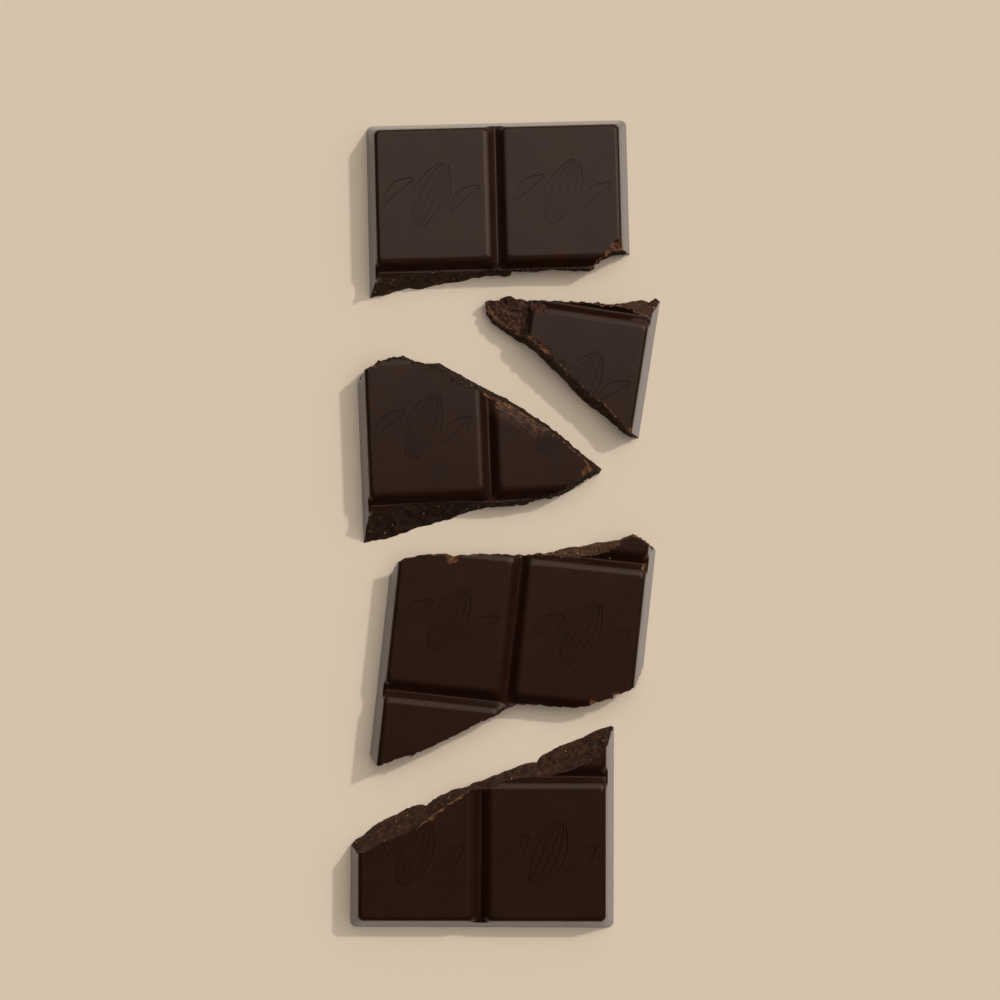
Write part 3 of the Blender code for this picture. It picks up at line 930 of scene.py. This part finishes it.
TOP_CRACK: tuple[CrackRow, ...] = (
    (-37.0, 33.0, -37.0, 36.0), (-33.5, 33.4, -33.0, 36.5), (-28.1, 34.5, -28.0, 37.8),
    (-23.9, 35.6, -23.7, 38.7), (-20.3, 35.1, -20.0, 38.8), (-17.7, 36.2, -17.5, 38.9),
    (-10.6, 37.0, -10.5, 39.0), (-3.8, 38.4, -3.8, 39.1), (2.6, 38.1, 2.6, 39.0),
    (3.1, 39.3, 3.3, 39.2), (9.1, 39.2, 9.1, 39.1), (13.0, 39.6, 13.0, 39.3),
    (18.0, 39.2, 18.0, 39.1), (23.5, 38.9, 23.5, 38.9), (24.2, 40.6, 25.0, 40.2),
    (26.9, 41.7, 27.5, 41.9), (28.7, 42.7, 28.4, 42.8), (30.8, 43.1, 30.6, 43.2),
    (33.7, 43.2, 32.9, 43.4), (37.0, 43.2, 37.0, 43.4),
)
UPPER_RIGHT_CRACK: tuple[CrackRow, ...] = (
    (38.0, 45.0, 38.0, 40.4), (33.9, 44.4, 33.4, 40.2), (32.8, 45.1, 32.0, 39.6),
    (31.1, 43.8, 30.4, 39.7), (29.1, 44.0, 28.4, 40.0), (26.3, 43.3, 26.3, 40.7),
    (23.6, 42.0, 23.6, 40.8), (18.9, 41.3, 18.9, 40.3), (12.0, 40.5, 12.0, 39.9),
    (4.4, 39.4, 4.4, 39.2), (-0.9, 38.6, -0.9, 38.4), (-4.9, 39.1, -4.7, 38.6),
    (-8.0, 38.2, -7.6, 37.6), (-11.0, 36.8, -9.9, 36.2), (-10.2, 34.2, -9.1, 34.7),
    (-8.3, 31.9, -7.4, 33.2), (-5.1, 30.5, -5.0, 31.8), (-1.3, 28.5, -1.5, 29.7),
    (1.1, 27.9, 1.3, 28.8), (5.3, 25.3, 6.2, 26.2), (9.7, 22.2, 9.8, 23.8),
    (12.6, 20.1, 13.2, 21.4), (16.3, 17.1, 16.6, 19.2), (19.8, 14.7, 20.0, 17.0),
    (23.3, 12.9, 23.4, 15.0), (26.9, 10.9, 26.6, 12.6), (29.7, 9.2, 29.3, 10.5),
    (32.2, 8.0, 31.4, 9.0), (33.6, 8.1, 33.0, 8.8), (38.0, 11.0, 38.0, 11.4),
)
MIDDLE_CRACK: tuple[CrackRow, ...] = (
    (-38.0, 28.5, -38.0, 29.0), (-34.0, 32.3, -33.4, 32.9), (-32.0, 35.2, -31.6, 34.8),
    (-28.5, 37.0, -28.2, 36.6), (-24.6, 38.6, -24.4, 37.9), (-22.0, 38.7, -22.0, 37.9),
    (-19.2, 37.6, -19.6, 36.6), (-16.1, 36.6, -17.3, 35.0), (-12.4, 36.6, -13.7, 33.2),
    (-11.2, 35.8, -12.0, 32.4), (-7.4, 33.5, -8.6, 31.0), (-5.0, 32.1, -5.6, 29.7),
    (-0.9, 29.6, -1.6, 28.0), (2.9, 27.4, 2.4, 26.0), (7.5, 24.8, 6.8, 23.4),
    (11.7, 21.5, 11.0, 20.3), (15.5, 18.7, 14.8, 17.8), (19.5, 15.2, 18.6, 14.6),
    (24.2, 10.9, 22.8, 10.6), (26.8, 8.9, 24.8, 8.6), (28.6, 7.3, 25.8, 7.2),
    (27.9, 6.2, 25.6, 6.3), (24.8, 5.0, 23.0, 5.2), (20.5, 2.2, 19.6, 3.0),
    (18.9, 1.3, 18.0, 2.0), (14.7, 0.5, 14.5, 0.6), (10.8, -0.1, 10.8, 0.1),
    (8.5, -0.9, 8.5, -0.4), (4.3, -1.3, 4.3, -0.6), (-0.9, -1.5, -0.9, -0.5),
    (-3.6, -1.7, -3.6, -0.4), (-6.2, -2.3, -6.2, -0.2), (-11.5, -4.1, -11.3, 0.0),
    (-19.3, -5.9, -19.0, 0.1), (-23.2, -7.1, -22.8, -0.3), (-28.7, -8.6, -28.2, -1.4),
    (-31.8, -9.0, -31.0, -2.0), (-33.7, -9.4, -32.8, -2.6), (-38.0, -10.0, -38.0, -4.0),
)
LOWER_UPPER_CRACK: tuple[CrackRow, ...] = (
    (-38.0, -11.0, -38.0, -9.0), (-33.8, -9.8, -33.6, -9.0), (-31.0, -9.2, -32.4, -6.7),
    (-28.0, -8.6, -30.0, -4.8), (-24.5, -7.6, -26.2, -3.9), (-20.0, -6.2, -21.6, -2.9),
    (-15.0, -5.0, -16.5, -2.9), (-11.0, -4.0, -11.4, -1.9), (-6.0, -2.4, -6.2, -1.6),
    (-0.6, -1.5, -0.6, -1.2), (4.5, -0.3, 4.5, -0.5), (8.7, 1.2, 9.0, -0.2),
    (10.7, 2.0, 11.5, 0.0), (15.5, 3.3, 15.8, 0.4), (18.6, 4.3, 18.6, 0.9),
    (21.8, 5.2, 21.4, 2.3), (24.4, 5.8, 23.6, 3.7), (26.3, 6.9, 25.6, 5.4),
    (27.8, 7.5, 27.2, 6.8), (29.5, 6.8, 29.0, 6.3), (33.6, 4.0, 33.0, 3.9),
    (38.0, 2.0, 38.0, 2.0),
)
LOWER_BOTTOM_CRACK: tuple[CrackRow, ...] = (
    (38.0, -25.5, 38.0, -28.0), (33.9, -26.6, 33.6, -29.6), (32.6, -26.9, 32.0, -32.0),
    (29.7, -27.3, 29.8, -33.2), (27.2, -28.6, 27.4, -34.8), (23.8, -30.1, 23.7, -36.5),
    (20.0, -31.4, 21.7, -37.6), (16.9, -33.0, 19.6, -38.4), (15.3, -34.0, 16.1, -38.8),
    (12.6, -35.8, 11.0, -39.1), (7.1, -37.5, 8.0, -38.9), (3.6, -38.8, 4.0, -39.1),
    (0.5, -40.0, 1.5, -39.9), (-2.8, -41.2, -0.8, -41.3), (-5.0, -42.2, -3.0, -42.9),
    (-8.0, -43.0, -6.7, -45.1), (-11.2, -44.4, -10.3, -47.5), (-14.6, -46.6, -15.1, -50.6),
    (-20.8, -48.3, -20.0, -53.6), (-23.2, -49.3, -23.1, -55.4), (-25.4, -50.7, -26.1, -56.5),
    (-28.6, -52.4, -28.5, -57.8), (-31.0, -54.6, -31.3, -58.9), (-33.9, -56.6, -33.0, -58.0),
    (-38.0, -57.0, -38.0, -58.0),
)
BOTTOM_CRACK: tuple[CrackRow, ...] = (
    (-38.0, -59.5, -38.0, -60.5), (-33.9, -57.4, -33.6, -58.6), (-32.8, -55.9, -32.6, -58.9),
    (-30.7, -54.9, -31.0, -58.9), (-28.4, -52.6, -28.8, -58.2), (-25.1, -50.8, -24.8, -56.2),
    (-20.8, -48.6, -20.6, -54.2), (-17.7, -47.2, -17.2, -52.4), (-14.3, -47.0, -13.4, -49.9),
    (-12.8, -45.6, -11.6, -48.6), (-11.0, -44.6, -9.6, -47.0), (-7.7, -43.1, -6.6, -44.9),
    (-3.6, -42.2, -3.5, -42.8), (-2.8, -41.5, -0.8, -42.6), (0.5, -40.4, 2.0, -42.4),
    (3.6, -39.1, 4.3, -41.2), (7.1, -37.8, 7.1, -40.0), (11.2, -36.1, 11.6, -39.5),
    (14.1, -35.9, 14.6, -39.3), (15.3, -34.2, 16.4, -39.1), (20.0, -31.7, 21.4, -38.1),
    (23.8, -30.4, 24.8, -36.7), (27.2, -28.9, 27.9, -35.1), (29.7, -27.5, 30.4, -33.8),
    (33.3, -26.4, 32.6, -30.5), (34.2, -27.0, 34.2, -28.4), (38.0, -28.0, 38.0, -29.0),
)
OUTSIDE_TOP: tuple[CrackRow, ...] = ((40.0, 85.0, 40.0, 85.0), (-40.0, 85.0, -40.0, 85.0))
OUTSIDE_BOTTOM: tuple[CrackRow, ...] = ((40.0, -85.0, 40.0, -85.0), (-40.0, -85.0, -40.0, -85.0))


@dataclass(frozen=True)
class Layout:
    """One fragment: the CAD node it stands for, its crack lines, what flaked off its rims and how it lies.

    The worn spans are the parts of a rim that are flaked all along: crack number, first row and last row. Bites are
    as dark as the crack's own face, chips paler. The snapped tones are the darkest and the lightest of that face.
    Their shift from fragment to fragment is painted light and shade: each pair is made lighter or darker to stand for
    how brightly that fragment's break faces are lit, over the chocolate's own grain of tone.
    """

    node: str
    slot: str
    cracks: tuple[tuple[CrackRow, ...], ...]
    chips: tuple[tuple[float, float, float, float], ...]
    turn: float
    centre: Plan
    worn: tuple[tuple[int, int, int], ...] = ()
    bites: tuple[tuple[float, float, float, float], ...] = ()
    tip: bool = False
    # Partly painted light and shade: the pair is lighter or darker per fragment to stand for how its break faces are
    # lit.
    snapped: tuple[str, str] = ("1c0d05", "4f2f18")


# Each snapped pair below is a lighter or darker copy of one snapped finish: painted light and shade for how each
# fragment's break faces are lit.
LAYOUTS = (
    Layout("top_fragment", "top_chocolate", (TOP_CRACK, OUTSIDE_TOP),
           ((30.8, 44.4, 8.2, 1.9), (32.2, 43.9, 7.8, 1.4), (28.6, 42.6, 7.9, 1.2)), 1.4, (0.9, 20.25),
           ((0, 13, 17),), snapped=("180b04", "472914")),
    Layout("upper_right_fragment", "upper_right_chocolate", (UPPER_RIGHT_CRACK,),
           ((-1.0, 30.3, 6.7, 1.5), (1.4, 28.4, 8.1, 1.5), (3.8, 27.3, 8.3, 1.5), (6.4, 26.3, 8.3, 1.4),
            (9.6, 23.6, 8.3, 1.0), (31.6, 9.4, 8.0, 1.0)), -9.0, (1.2, 13.25), ((0, 2, 7), (0, 13, 26)),
           ((2.6, 39.0, 9.6, 4.4), (0.6, 38.0, 8.4, 2.4)), True, ("1c0d05", "583620")),
    Layout("middle_fragment", "middle_chocolate", (MIDDLE_CRACK,),
           ((3.0, 25.6, 8.4, 1.3), (5.6, 24.3, 8.5, 1.2), (10.0, 20.8, 8.4, 1.2), (13.2, 18.9, 8.5, 1.1),
            (26.4, 7.9, 8.1, 1.9), (24.2, 6.2, 8.3, 1.4), (-28.6, 36.4, 7.8, 1.0)), 2.4, (-1.8, -0.4),
           ((0, 12, 20),), snapped=("120702", "38200f")),
    Layout("lower_fragment", "lower_chocolate", (LOWER_UPPER_CRACK, LOWER_BOTTOM_CRACK),
           ((-17.9, -3.4, 7.8, 1.9), (22.0, -37.0, 8.1, 1.3), (27.6, -34.4, 8.2, 1.2)), -6.2, (6.2, -13.4),
           ((0, 3, 7), (1, 3, 8)), snapped=("24120a", "6a442a")),
    Layout("bottom_fragment", "bottom_chocolate", (BOTTOM_CRACK, OUTSIDE_BOTTOM),
           ((-13.0, -49.2, 8.0, 1.2), (33.0, -30.4, 7.4, 1.1)), -0.2, (-4.4, -32.0), ((0, 7, 12),),
           snapped=("1c0d05", "50301a")),
)
LAYOUT_MIDDLE = (1.5372, -5.547)


@dataclass
class Fragment:
    """One snapped piece of the bar, dressed and laid out."""

    layout: Layout
    seed: float
    chip_gap: float = 4.2
    worn_gap: float = 0.85
    chip_sizes: Plan = (0.22, 0.62)
    worn_stretch: Plan = (1.4, 2.8)
    crease: float = math.radians(32.0)
    skin_crease: float = math.radians(55.0)

    def _small_chips(self, prism: CrackPrism) -> list[tuple[Chip, Surface]]:
        """Chooses the small flakes along the fragment's rims.

        Args:
            prism: The walls whose rims flake.

        Returns:
            The flakes and what their faces show: dense and pale on the worn spans, sparse and dark elsewhere.
        """
        draw = random.Random(int(self.seed) + 5)
        chips = []
        for number, crack in enumerate(self.layout.cracks):
            if len(crack) <= 2:
                continue
            for start in range(len(crack) - 1):
                worn = any(n == number and first <= start < last for n, first, last in self.layout.worn)
                gap = self.worn_gap if worn else self.chip_gap
                a, b = crack[start][2:], crack[start + 1][2:]
                count = math.dist(a, b) / gap
                for _ in range(int(count) + (draw.random() < count % 1)):
                    share = draw.random()
                    x, y = (p + (q - p) * share + draw.uniform(-0.2, 0.2) for p, q in zip(a, b))
                    radius = draw.uniform(*self.chip_sizes)
                    height = prism.bar.surface_height(x, y)
                    if self.layout.tip:
                        height = min(height, TipFacet(prism.bar, prism.grain).height(x, y))
                    height += draw.uniform(-0.1, 0.35) * radius
                    face = Surface.CHIPPED if worn else Surface.BROKEN
                    stretch = draw.uniform(*self.worn_stretch) if worn else 1.0
                    chips.append((Chip((x, y, height), radius, 0.75, 1.7 / radius, 0.5, stretch,
                                       math.atan2(b[1] - a[1], b[0] - a[0])), face))
        return chips

    def build(self, bar: bpy.types.Object, prism: CrackPrism, chipped: bpy.types.Material) -> bpy.types.Object:
        """Breaks the fragment out of the bar, places it and dresses it.

        Args:
            bar: The whole moulded bar.
            prism: Maker of the crack walls.
            chipped: Finish of the pale flakes.

        Returns:
            The finished piece.
        """
        pick_only(bar)
        bpy.ops.object.duplicate(linked=False)
        body = bpy.context.object
        body.name = self.layout.node + "_piece"
        # The snapped finish is made per fragment from its pair, so it carries that fragment's painted light and
        # shade.
        dark, light = self.layout.snapped
        broken = BrokenFace(dark, light).build("dark chocolate, snapped, " + self.layout.node.replace("_", " "))
        boolean(body, prism.build(self.layout.cracks, self.seed, broken), Cut.KEEP)
        for x, y, z, radius in self.layout.bites:
            boolean(body, Chip((x, y, z), radius).build(broken, 4), Cut.CARVE)
        for x, y, z, radius in self.layout.chips:
            boolean(body, Chip((x, y, z), radius).build(chipped, 4), Cut.CARVE)
        for chip, face in self._small_chips(prism):
            boolean(body, chip.build(chipped if face is Surface.CHIPPED else broken, 2), Cut.CARVE)
        if self.layout.tip:
            boolean(body, TipFacet(prism.bar, prism.grain).build(broken), Cut.CARVE)
        self._place(body)
        open_edges = self._close(body)
        self._smooth(body)
        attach(body, BODY)
        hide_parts(self.layout.node)
        LOG.info("%s: %d faces, %d open edges, %s", body.name, len(body.data.polygons), open_edges,
                 [m.name for m in body.data.materials])
        return body

    def _place(self, body: bpy.types.Object) -> None:
        """Turns the fragment and sets it down in metres where the frame has it."""
        middle = [c - m for c, m in zip(self.layout.centre, LAYOUT_MIDDLE)]
        move = Matrix.Translation((middle[0] * MM, middle[1] * MM, 0.0))
        body.data.transform(move @ Matrix.Rotation(math.radians(self.layout.turn), 4, "Z") @ Matrix.Scale(MM, 4))

    def _close(self, body: bpy.types.Object) -> int:
        """Clears slivers, makes every face a triangle and removes those that stand alone where a sliver folded flat.

        Args:
            body: The fragment.

        Returns:
            How many edges don't lie between exactly two faces: none on a closed piece.
        """
        with editing(body):
            bpy.ops.mesh.select_all(action="SELECT")
            bpy.ops.mesh.remove_doubles(threshold=0.00001)
            bpy.ops.mesh.dissolve_degenerate(threshold=0.000005)
            bpy.ops.mesh.quads_convert_to_tris(quad_method="BEAUTY", ngon_method="BEAUTY")
            bpy.ops.mesh.select_mode(type="FACE")
            shape = bmesh.from_edit_mesh(body.data)
            for face in shape.faces:
                face.select_set(all(len(edge.link_faces) != 2 for edge in face.edges))
            bmesh.update_edit_mesh(body.data)
            bpy.ops.mesh.delete(type="FACE")
            bpy.ops.mesh.select_all(action="SELECT")
            bpy.ops.mesh.delete_loose()
            shape = bmesh.from_edit_mesh(body.data)
            return sum(len(edge.link_faces) != 2 for edge in shape.edges)

    def _smooth(self, body: bpy.types.Object) -> None:
        """Smooths the shading, with creases kept.

        Args:
            body: The fragment.
        """
        pick_only(body)
        bpy.ops.object.shade_smooth_by_angle(angle=self.crease)
        with editing(body):
            bpy.ops.mesh.select_mode(type="EDGE")
            shape = bmesh.from_edit_mesh(body.data)
            moulded = {Surface.MOULDED.value, Surface.SIDE.value}
            for edge in shape.edges:
                skin = all(face.material_index in moulded for face in edge.link_faces)
                edge.select_set(skin and edge.calc_face_angle(math.pi) < self.skin_crease)
            bpy.ops.mesh.mark_sharp(clear=True)
        step = body.modifiers.new("weighted normal", "WEIGHTED_NORMAL")
        step.keep_sharp = True
        bpy.ops.object.modifier_apply(modifier=step.name)


@dataclass(frozen=True)
class Cluster:
    """A handful of grains that stick close together: the middle of it in the frame's millimetres."""

    x: float
    y: float
    radius: float
    count: int


CLUSTERS = (Cluster(11.3, -8.2, 2.3, 11), Cluster(19.0, -8.2, 1.6, 4), Cluster(27.2, -10.0, 0.6, 2),
            Cluster(34.6, -11.7, 1.3, 9), Cluster(-26.8, -76.9, 2.4, 7), Cluster(-15.1, -70.9, 0.9, 3))


@dataclass
class LooseGrains:
    """Golden husk and bean grains that sit half in the broken faces."""

    name: str
    per_fragment: int
    sizes: Plan
    seed: int
    flatness: float = 0.7
    sunk: float = 0.35
    least_slope: float = 0.15
    least_height: float = 1.0

    def _spots(self, body: bpy.types.Object, surface: Surface) -> list[tuple[Vector, Vector]]:
        """Draws seeded places on a fragment's faces of one finish, larger faces more often.

        Args:
            body: The fragment.
            surface: The finish that carries the grains.

        Returns:
            Place and normal of each grain.
        """
        draw = random.Random(self.seed + len(body.data.polygons))
        low, high = self.least_height * MM, CAD_BOX[1][2] - self.sizes[1] * MM
        upward = [face for face in body.data.polygons if face.normal.z > self.least_slope and face.center.z > low]
        faces = [face for face in upward if face.material_index == surface.value and face.center.z < high]
        chosen = draw.choices(faces, weights=[f.area for f in faces], k=self.per_fragment) if faces else []
        for cluster in CLUSTERS:
            middle = Vector((cluster.x, cluster.y))
            near = [face for face in upward if (face.center.xy / MM - middle).length < cluster.radius]
            if near:
                chosen += draw.choices(near, weights=[f.area for f in near], k=cluster.count)
        return [(f.center.copy(), f.normal.copy()) for f in chosen]

    def build(
        self, bodies: Sequence[bpy.types.Object], surface: Surface, material: bpy.types.Material
    ) -> bpy.types.Object:
        """Models all the grains as one piece.

        Args:
            bodies: The finished fragments.
            surface: The finish that carries the grains.
            material: Finish of the grains.

        Returns:
            The finished piece.
        """
        draw = random.Random(self.seed)
        ceiling = CAD_BOX[1][2] / MM - 0.05
        bpy.ops.mesh.primitive_ico_sphere_add(subdivisions=2, radius=1.0, location=(0, 0, 0))
        model = bpy.context.object
        for vertex in model.data.vertices:
            vertex.co *= 1.0 + 0.35 * noise.noise(vertex.co * 1.6 + Vector((self.seed, 0.0, 0.0)))
        model.data.materials.append(material)
        made = []
        for body in bodies:
            for place, normal in self._spots(body, surface):
                size = draw.uniform(*self.sizes)
                shape = Matrix.Diagonal((size, size * draw.uniform(0.6, 1.0), size * self.flatness, 1.0))
                spin = Matrix.Rotation(draw.uniform(0, 2 * math.pi), 4, "Z")
                turn = normal.to_track_quat("Z", "Y").to_matrix().to_4x4() @ spin
                spot = place / MM + normal * size * (0.5 - self.sunk)
                spot.z = min(spot.z, ceiling - size)
                pick_only(model)
                bpy.ops.object.duplicate(linked=False)
                grain = bpy.context.object
                grain.data.transform(Matrix.Scale(MM, 4) @ Matrix.Translation(spot) @ turn @ shape)
                made.append(grain)
        bpy.data.objects.remove(model)
        piece = join(made, self.name)
        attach(piece, BODY)
        LOG.info("%s: %d grains", piece.name, len(made))
        return piece


@dataclass
class Studio:
    """The pale table, the hard key light from the upper right and the soft room round the bar."""

    table: str = "dfcbb3"
    sun_turn: float = math.radians(34.9)
    sun_rise: float = math.radians(40.7)
    sun_spread: float = math.radians(3.0)
    sun_strength: float = 1.27
    room: float = 2.4
    room_power: float = 6.0
    room_tilt: float = math.radians(28.0)
    horizon: float = 0.12
    panel_rise: float = 0.42
    sheen_span: Plan = (0.075, 1.3)
    sheen_width: float = 0.7
    sheen_glow: float = 0.9
    ceiling_span: Plan = (-0.35, 0.35)
    ceiling_width: float = 0.45
    ceiling_glow: float = 0.14
    ceiling_colour: str = "ffc8b4"
    window_size: float = 0.4
    window_reach: float = 0.6
    window_glow: float = 1.5

    def _floor(self) -> bpy.types.Object:
        """Lays the table."""
        bpy.ops.mesh.primitive_plane_add(size=12.0, location=(0, 0, -0.00002))
        floor = bpy.context.object
        floor.name = "table"
        material, nodes, shader, place = new_material("painted table")
        shader.inputs["Base Color"].default_value = linear(self.table)
        shader.inputs["Roughness"].default_value = 0.9
        shader.inputs["Specular IOR Level"].default_value = 0.1
        floor.data.materials.append(material)
        return floor

    def _sun(self) -> None:
        """Hangs the key light."""
        bpy.ops.object.light_add(type="SUN", location=(0.3, 0.2, 0.4))
        sun = bpy.context.object
        sun.data.energy = self.sun_strength
        sun.data.angle = self.sun_spread
        sun.rotation_euler = (0.0, math.pi / 2 - self.sun_rise, self.sun_turn)
        sun.visible_glossy = False

    def _panel(self, place: Vector, size: Plan, glow: float, colour: str = "ffffff") -> bpy.types.Object:
        """Hangs a soft panel, facing down, that shows as sheen in the glossy faces and gives the table no light.

        Args:
            place: Its middle.
            size: Its width and its length.
            glow: Its brightness, as a share of white.
            colour: Its colour.

        Returns:
            The panel.
        """
        bpy.ops.object.light_add(type="AREA", location=place)
        panel = bpy.context.object
        panel.data.shape = "RECTANGLE"
        panel.data.size, panel.data.size_y = size
        panel.data.energy = glow * math.pi * size[0] * size[1]
        panel.data.color = linear(colour)[:3]
        panel.visible_diffuse = False
        panel.visible_camera = False
        return panel

    def _overhead(self, span: Plan) -> tuple[Vector, float]:
        """Middle and length of a panel that hangs over a stretch of the column of fragments."""
        return Vector((0.0, (span[0] + span[1]) / 2, self.panel_rise)), span[1] - span[0]

    def _panels(self) -> None:
        """Hangs the long white panel past the far end, the dim warm ceiling and, in line with the sun, the window."""
        place, length = self._overhead(self.sheen_span)
        self._panel(place, (self.sheen_width, length), self.sheen_glow)
        place, length = self._overhead(self.ceiling_span)
        self._panel(place, (self.ceiling_width, length), self.ceiling_glow, self.ceiling_colour)
        flat = math.cos(self.sun_rise)
        towards = Vector((flat * math.cos(self.sun_turn), flat * math.sin(self.sun_turn), math.sin(self.sun_rise)))
        window = self._panel(towards * self.window_reach, (self.window_size, self.window_size), self.window_glow)
        window.rotation_euler = (0.0, math.pi / 2 - self.sun_rise, self.sun_turn)

    def _room(self) -> None:
        """Lights the room softly from above the key light. Glossy faces see only the panels and the table."""
        world = bpy.data.worlds.new("room")
        bpy.context.scene.world = world
        world.cycles_visibility.glossy = False
        world.use_nodes = True
        tree = world.node_tree
        where = tree.nodes.new("ShaderNodeTexCoord")
        towards = tree.nodes.new("ShaderNodeVectorMath")
        towards.operation = "DOT_PRODUCT"
        lean = math.sin(self.room_tilt)
        towards.inputs[1].default_value = (
            lean * math.cos(self.sun_turn), lean * math.sin(self.sun_turn), math.cos(self.room_tilt)
        )
        tree.links.new(where.outputs["Generated"], towards.inputs[0])
        source = towards.outputs["Value"]
        for operation, value in (("MAXIMUM", 0.0), ("POWER", self.room_power), ("MULTIPLY", self.room),
                                 ("ADD", self.horizon)):
            step = tree.nodes.new("ShaderNodeMath")
            step.operation = operation
            step.inputs[1].default_value = value
            tree.links.new(source, step.inputs[0])
            source = step.outputs[0]
        background = tree.nodes["Background"]
        background.inputs["Color"].default_value = (1.0, 1.0, 1.0, 1.0)
        tree.links.new(source, background.inputs["Strength"])

    def _camera(self) -> None:
        """Stands the camera over the table as the photo has it."""
        tilt = math.radians(2.5)
        reach = 0.7
        target = Vector((-LAYOUT_MIDDLE[0] * MM, -LAYOUT_MIDDLE[1] * MM, 0.0))
        place = target + Vector((0.0, -reach * math.sin(tilt), reach * math.cos(tilt)))
        bpy.ops.object.camera_add(location=place, rotation=(tilt, 0.0, 0.0))
        camera = bpy.context.object
        camera.data.lens = 36.0 * reach / (1000 * 0.26 * MM)
        camera.data.sensor_width = 36.0
        camera.data.clip_start = 0.01
        bpy.context.scene.camera = camera

    def build(self) -> None:
        """Sets up the whole stage."""
        self._floor()
        self._sun()
        self._panels()
        self._room()
        self._camera()
        bpy.context.scene.view_settings.view_transform = "Standard"


def main() -> None:
    """Builds the bar, breaks it, dresses the fragments and lights them."""
    logging.basicConfig(level=logging.INFO, format="%(message)s")
    shape = MouldedBar()
    skins = (
        MouldedSkin(band=RubbedBand()).build("tempered dark chocolate, moulded"),
        MouldedSkin(bloom=0.45, gloss=0.45, sheen_tint="ffffff").build("tempered dark chocolate, drafted sides"),
    )
    chipped = BrokenFace("201006", "85532f", roughness=0.7).build("dark chocolate, freshly chipped")
    bar = shape.build(PodMotif(), skins)
    prism = CrackPrism(shape, Grain())
    bodies = [Fragment(layout, 11.0 * n).build(bar, prism, chipped) for n, layout in enumerate(LAYOUTS)]
    bpy.data.objects.remove(bar)
    grain = GrainFinish().build("crushed cocoa husk")
    LooseGrains("husk_grains", 14, (0.12, 0.3), 3).build(bodies, Surface.BROKEN, grain)
    Studio().build()


if __name__ == "__main__":
    main()
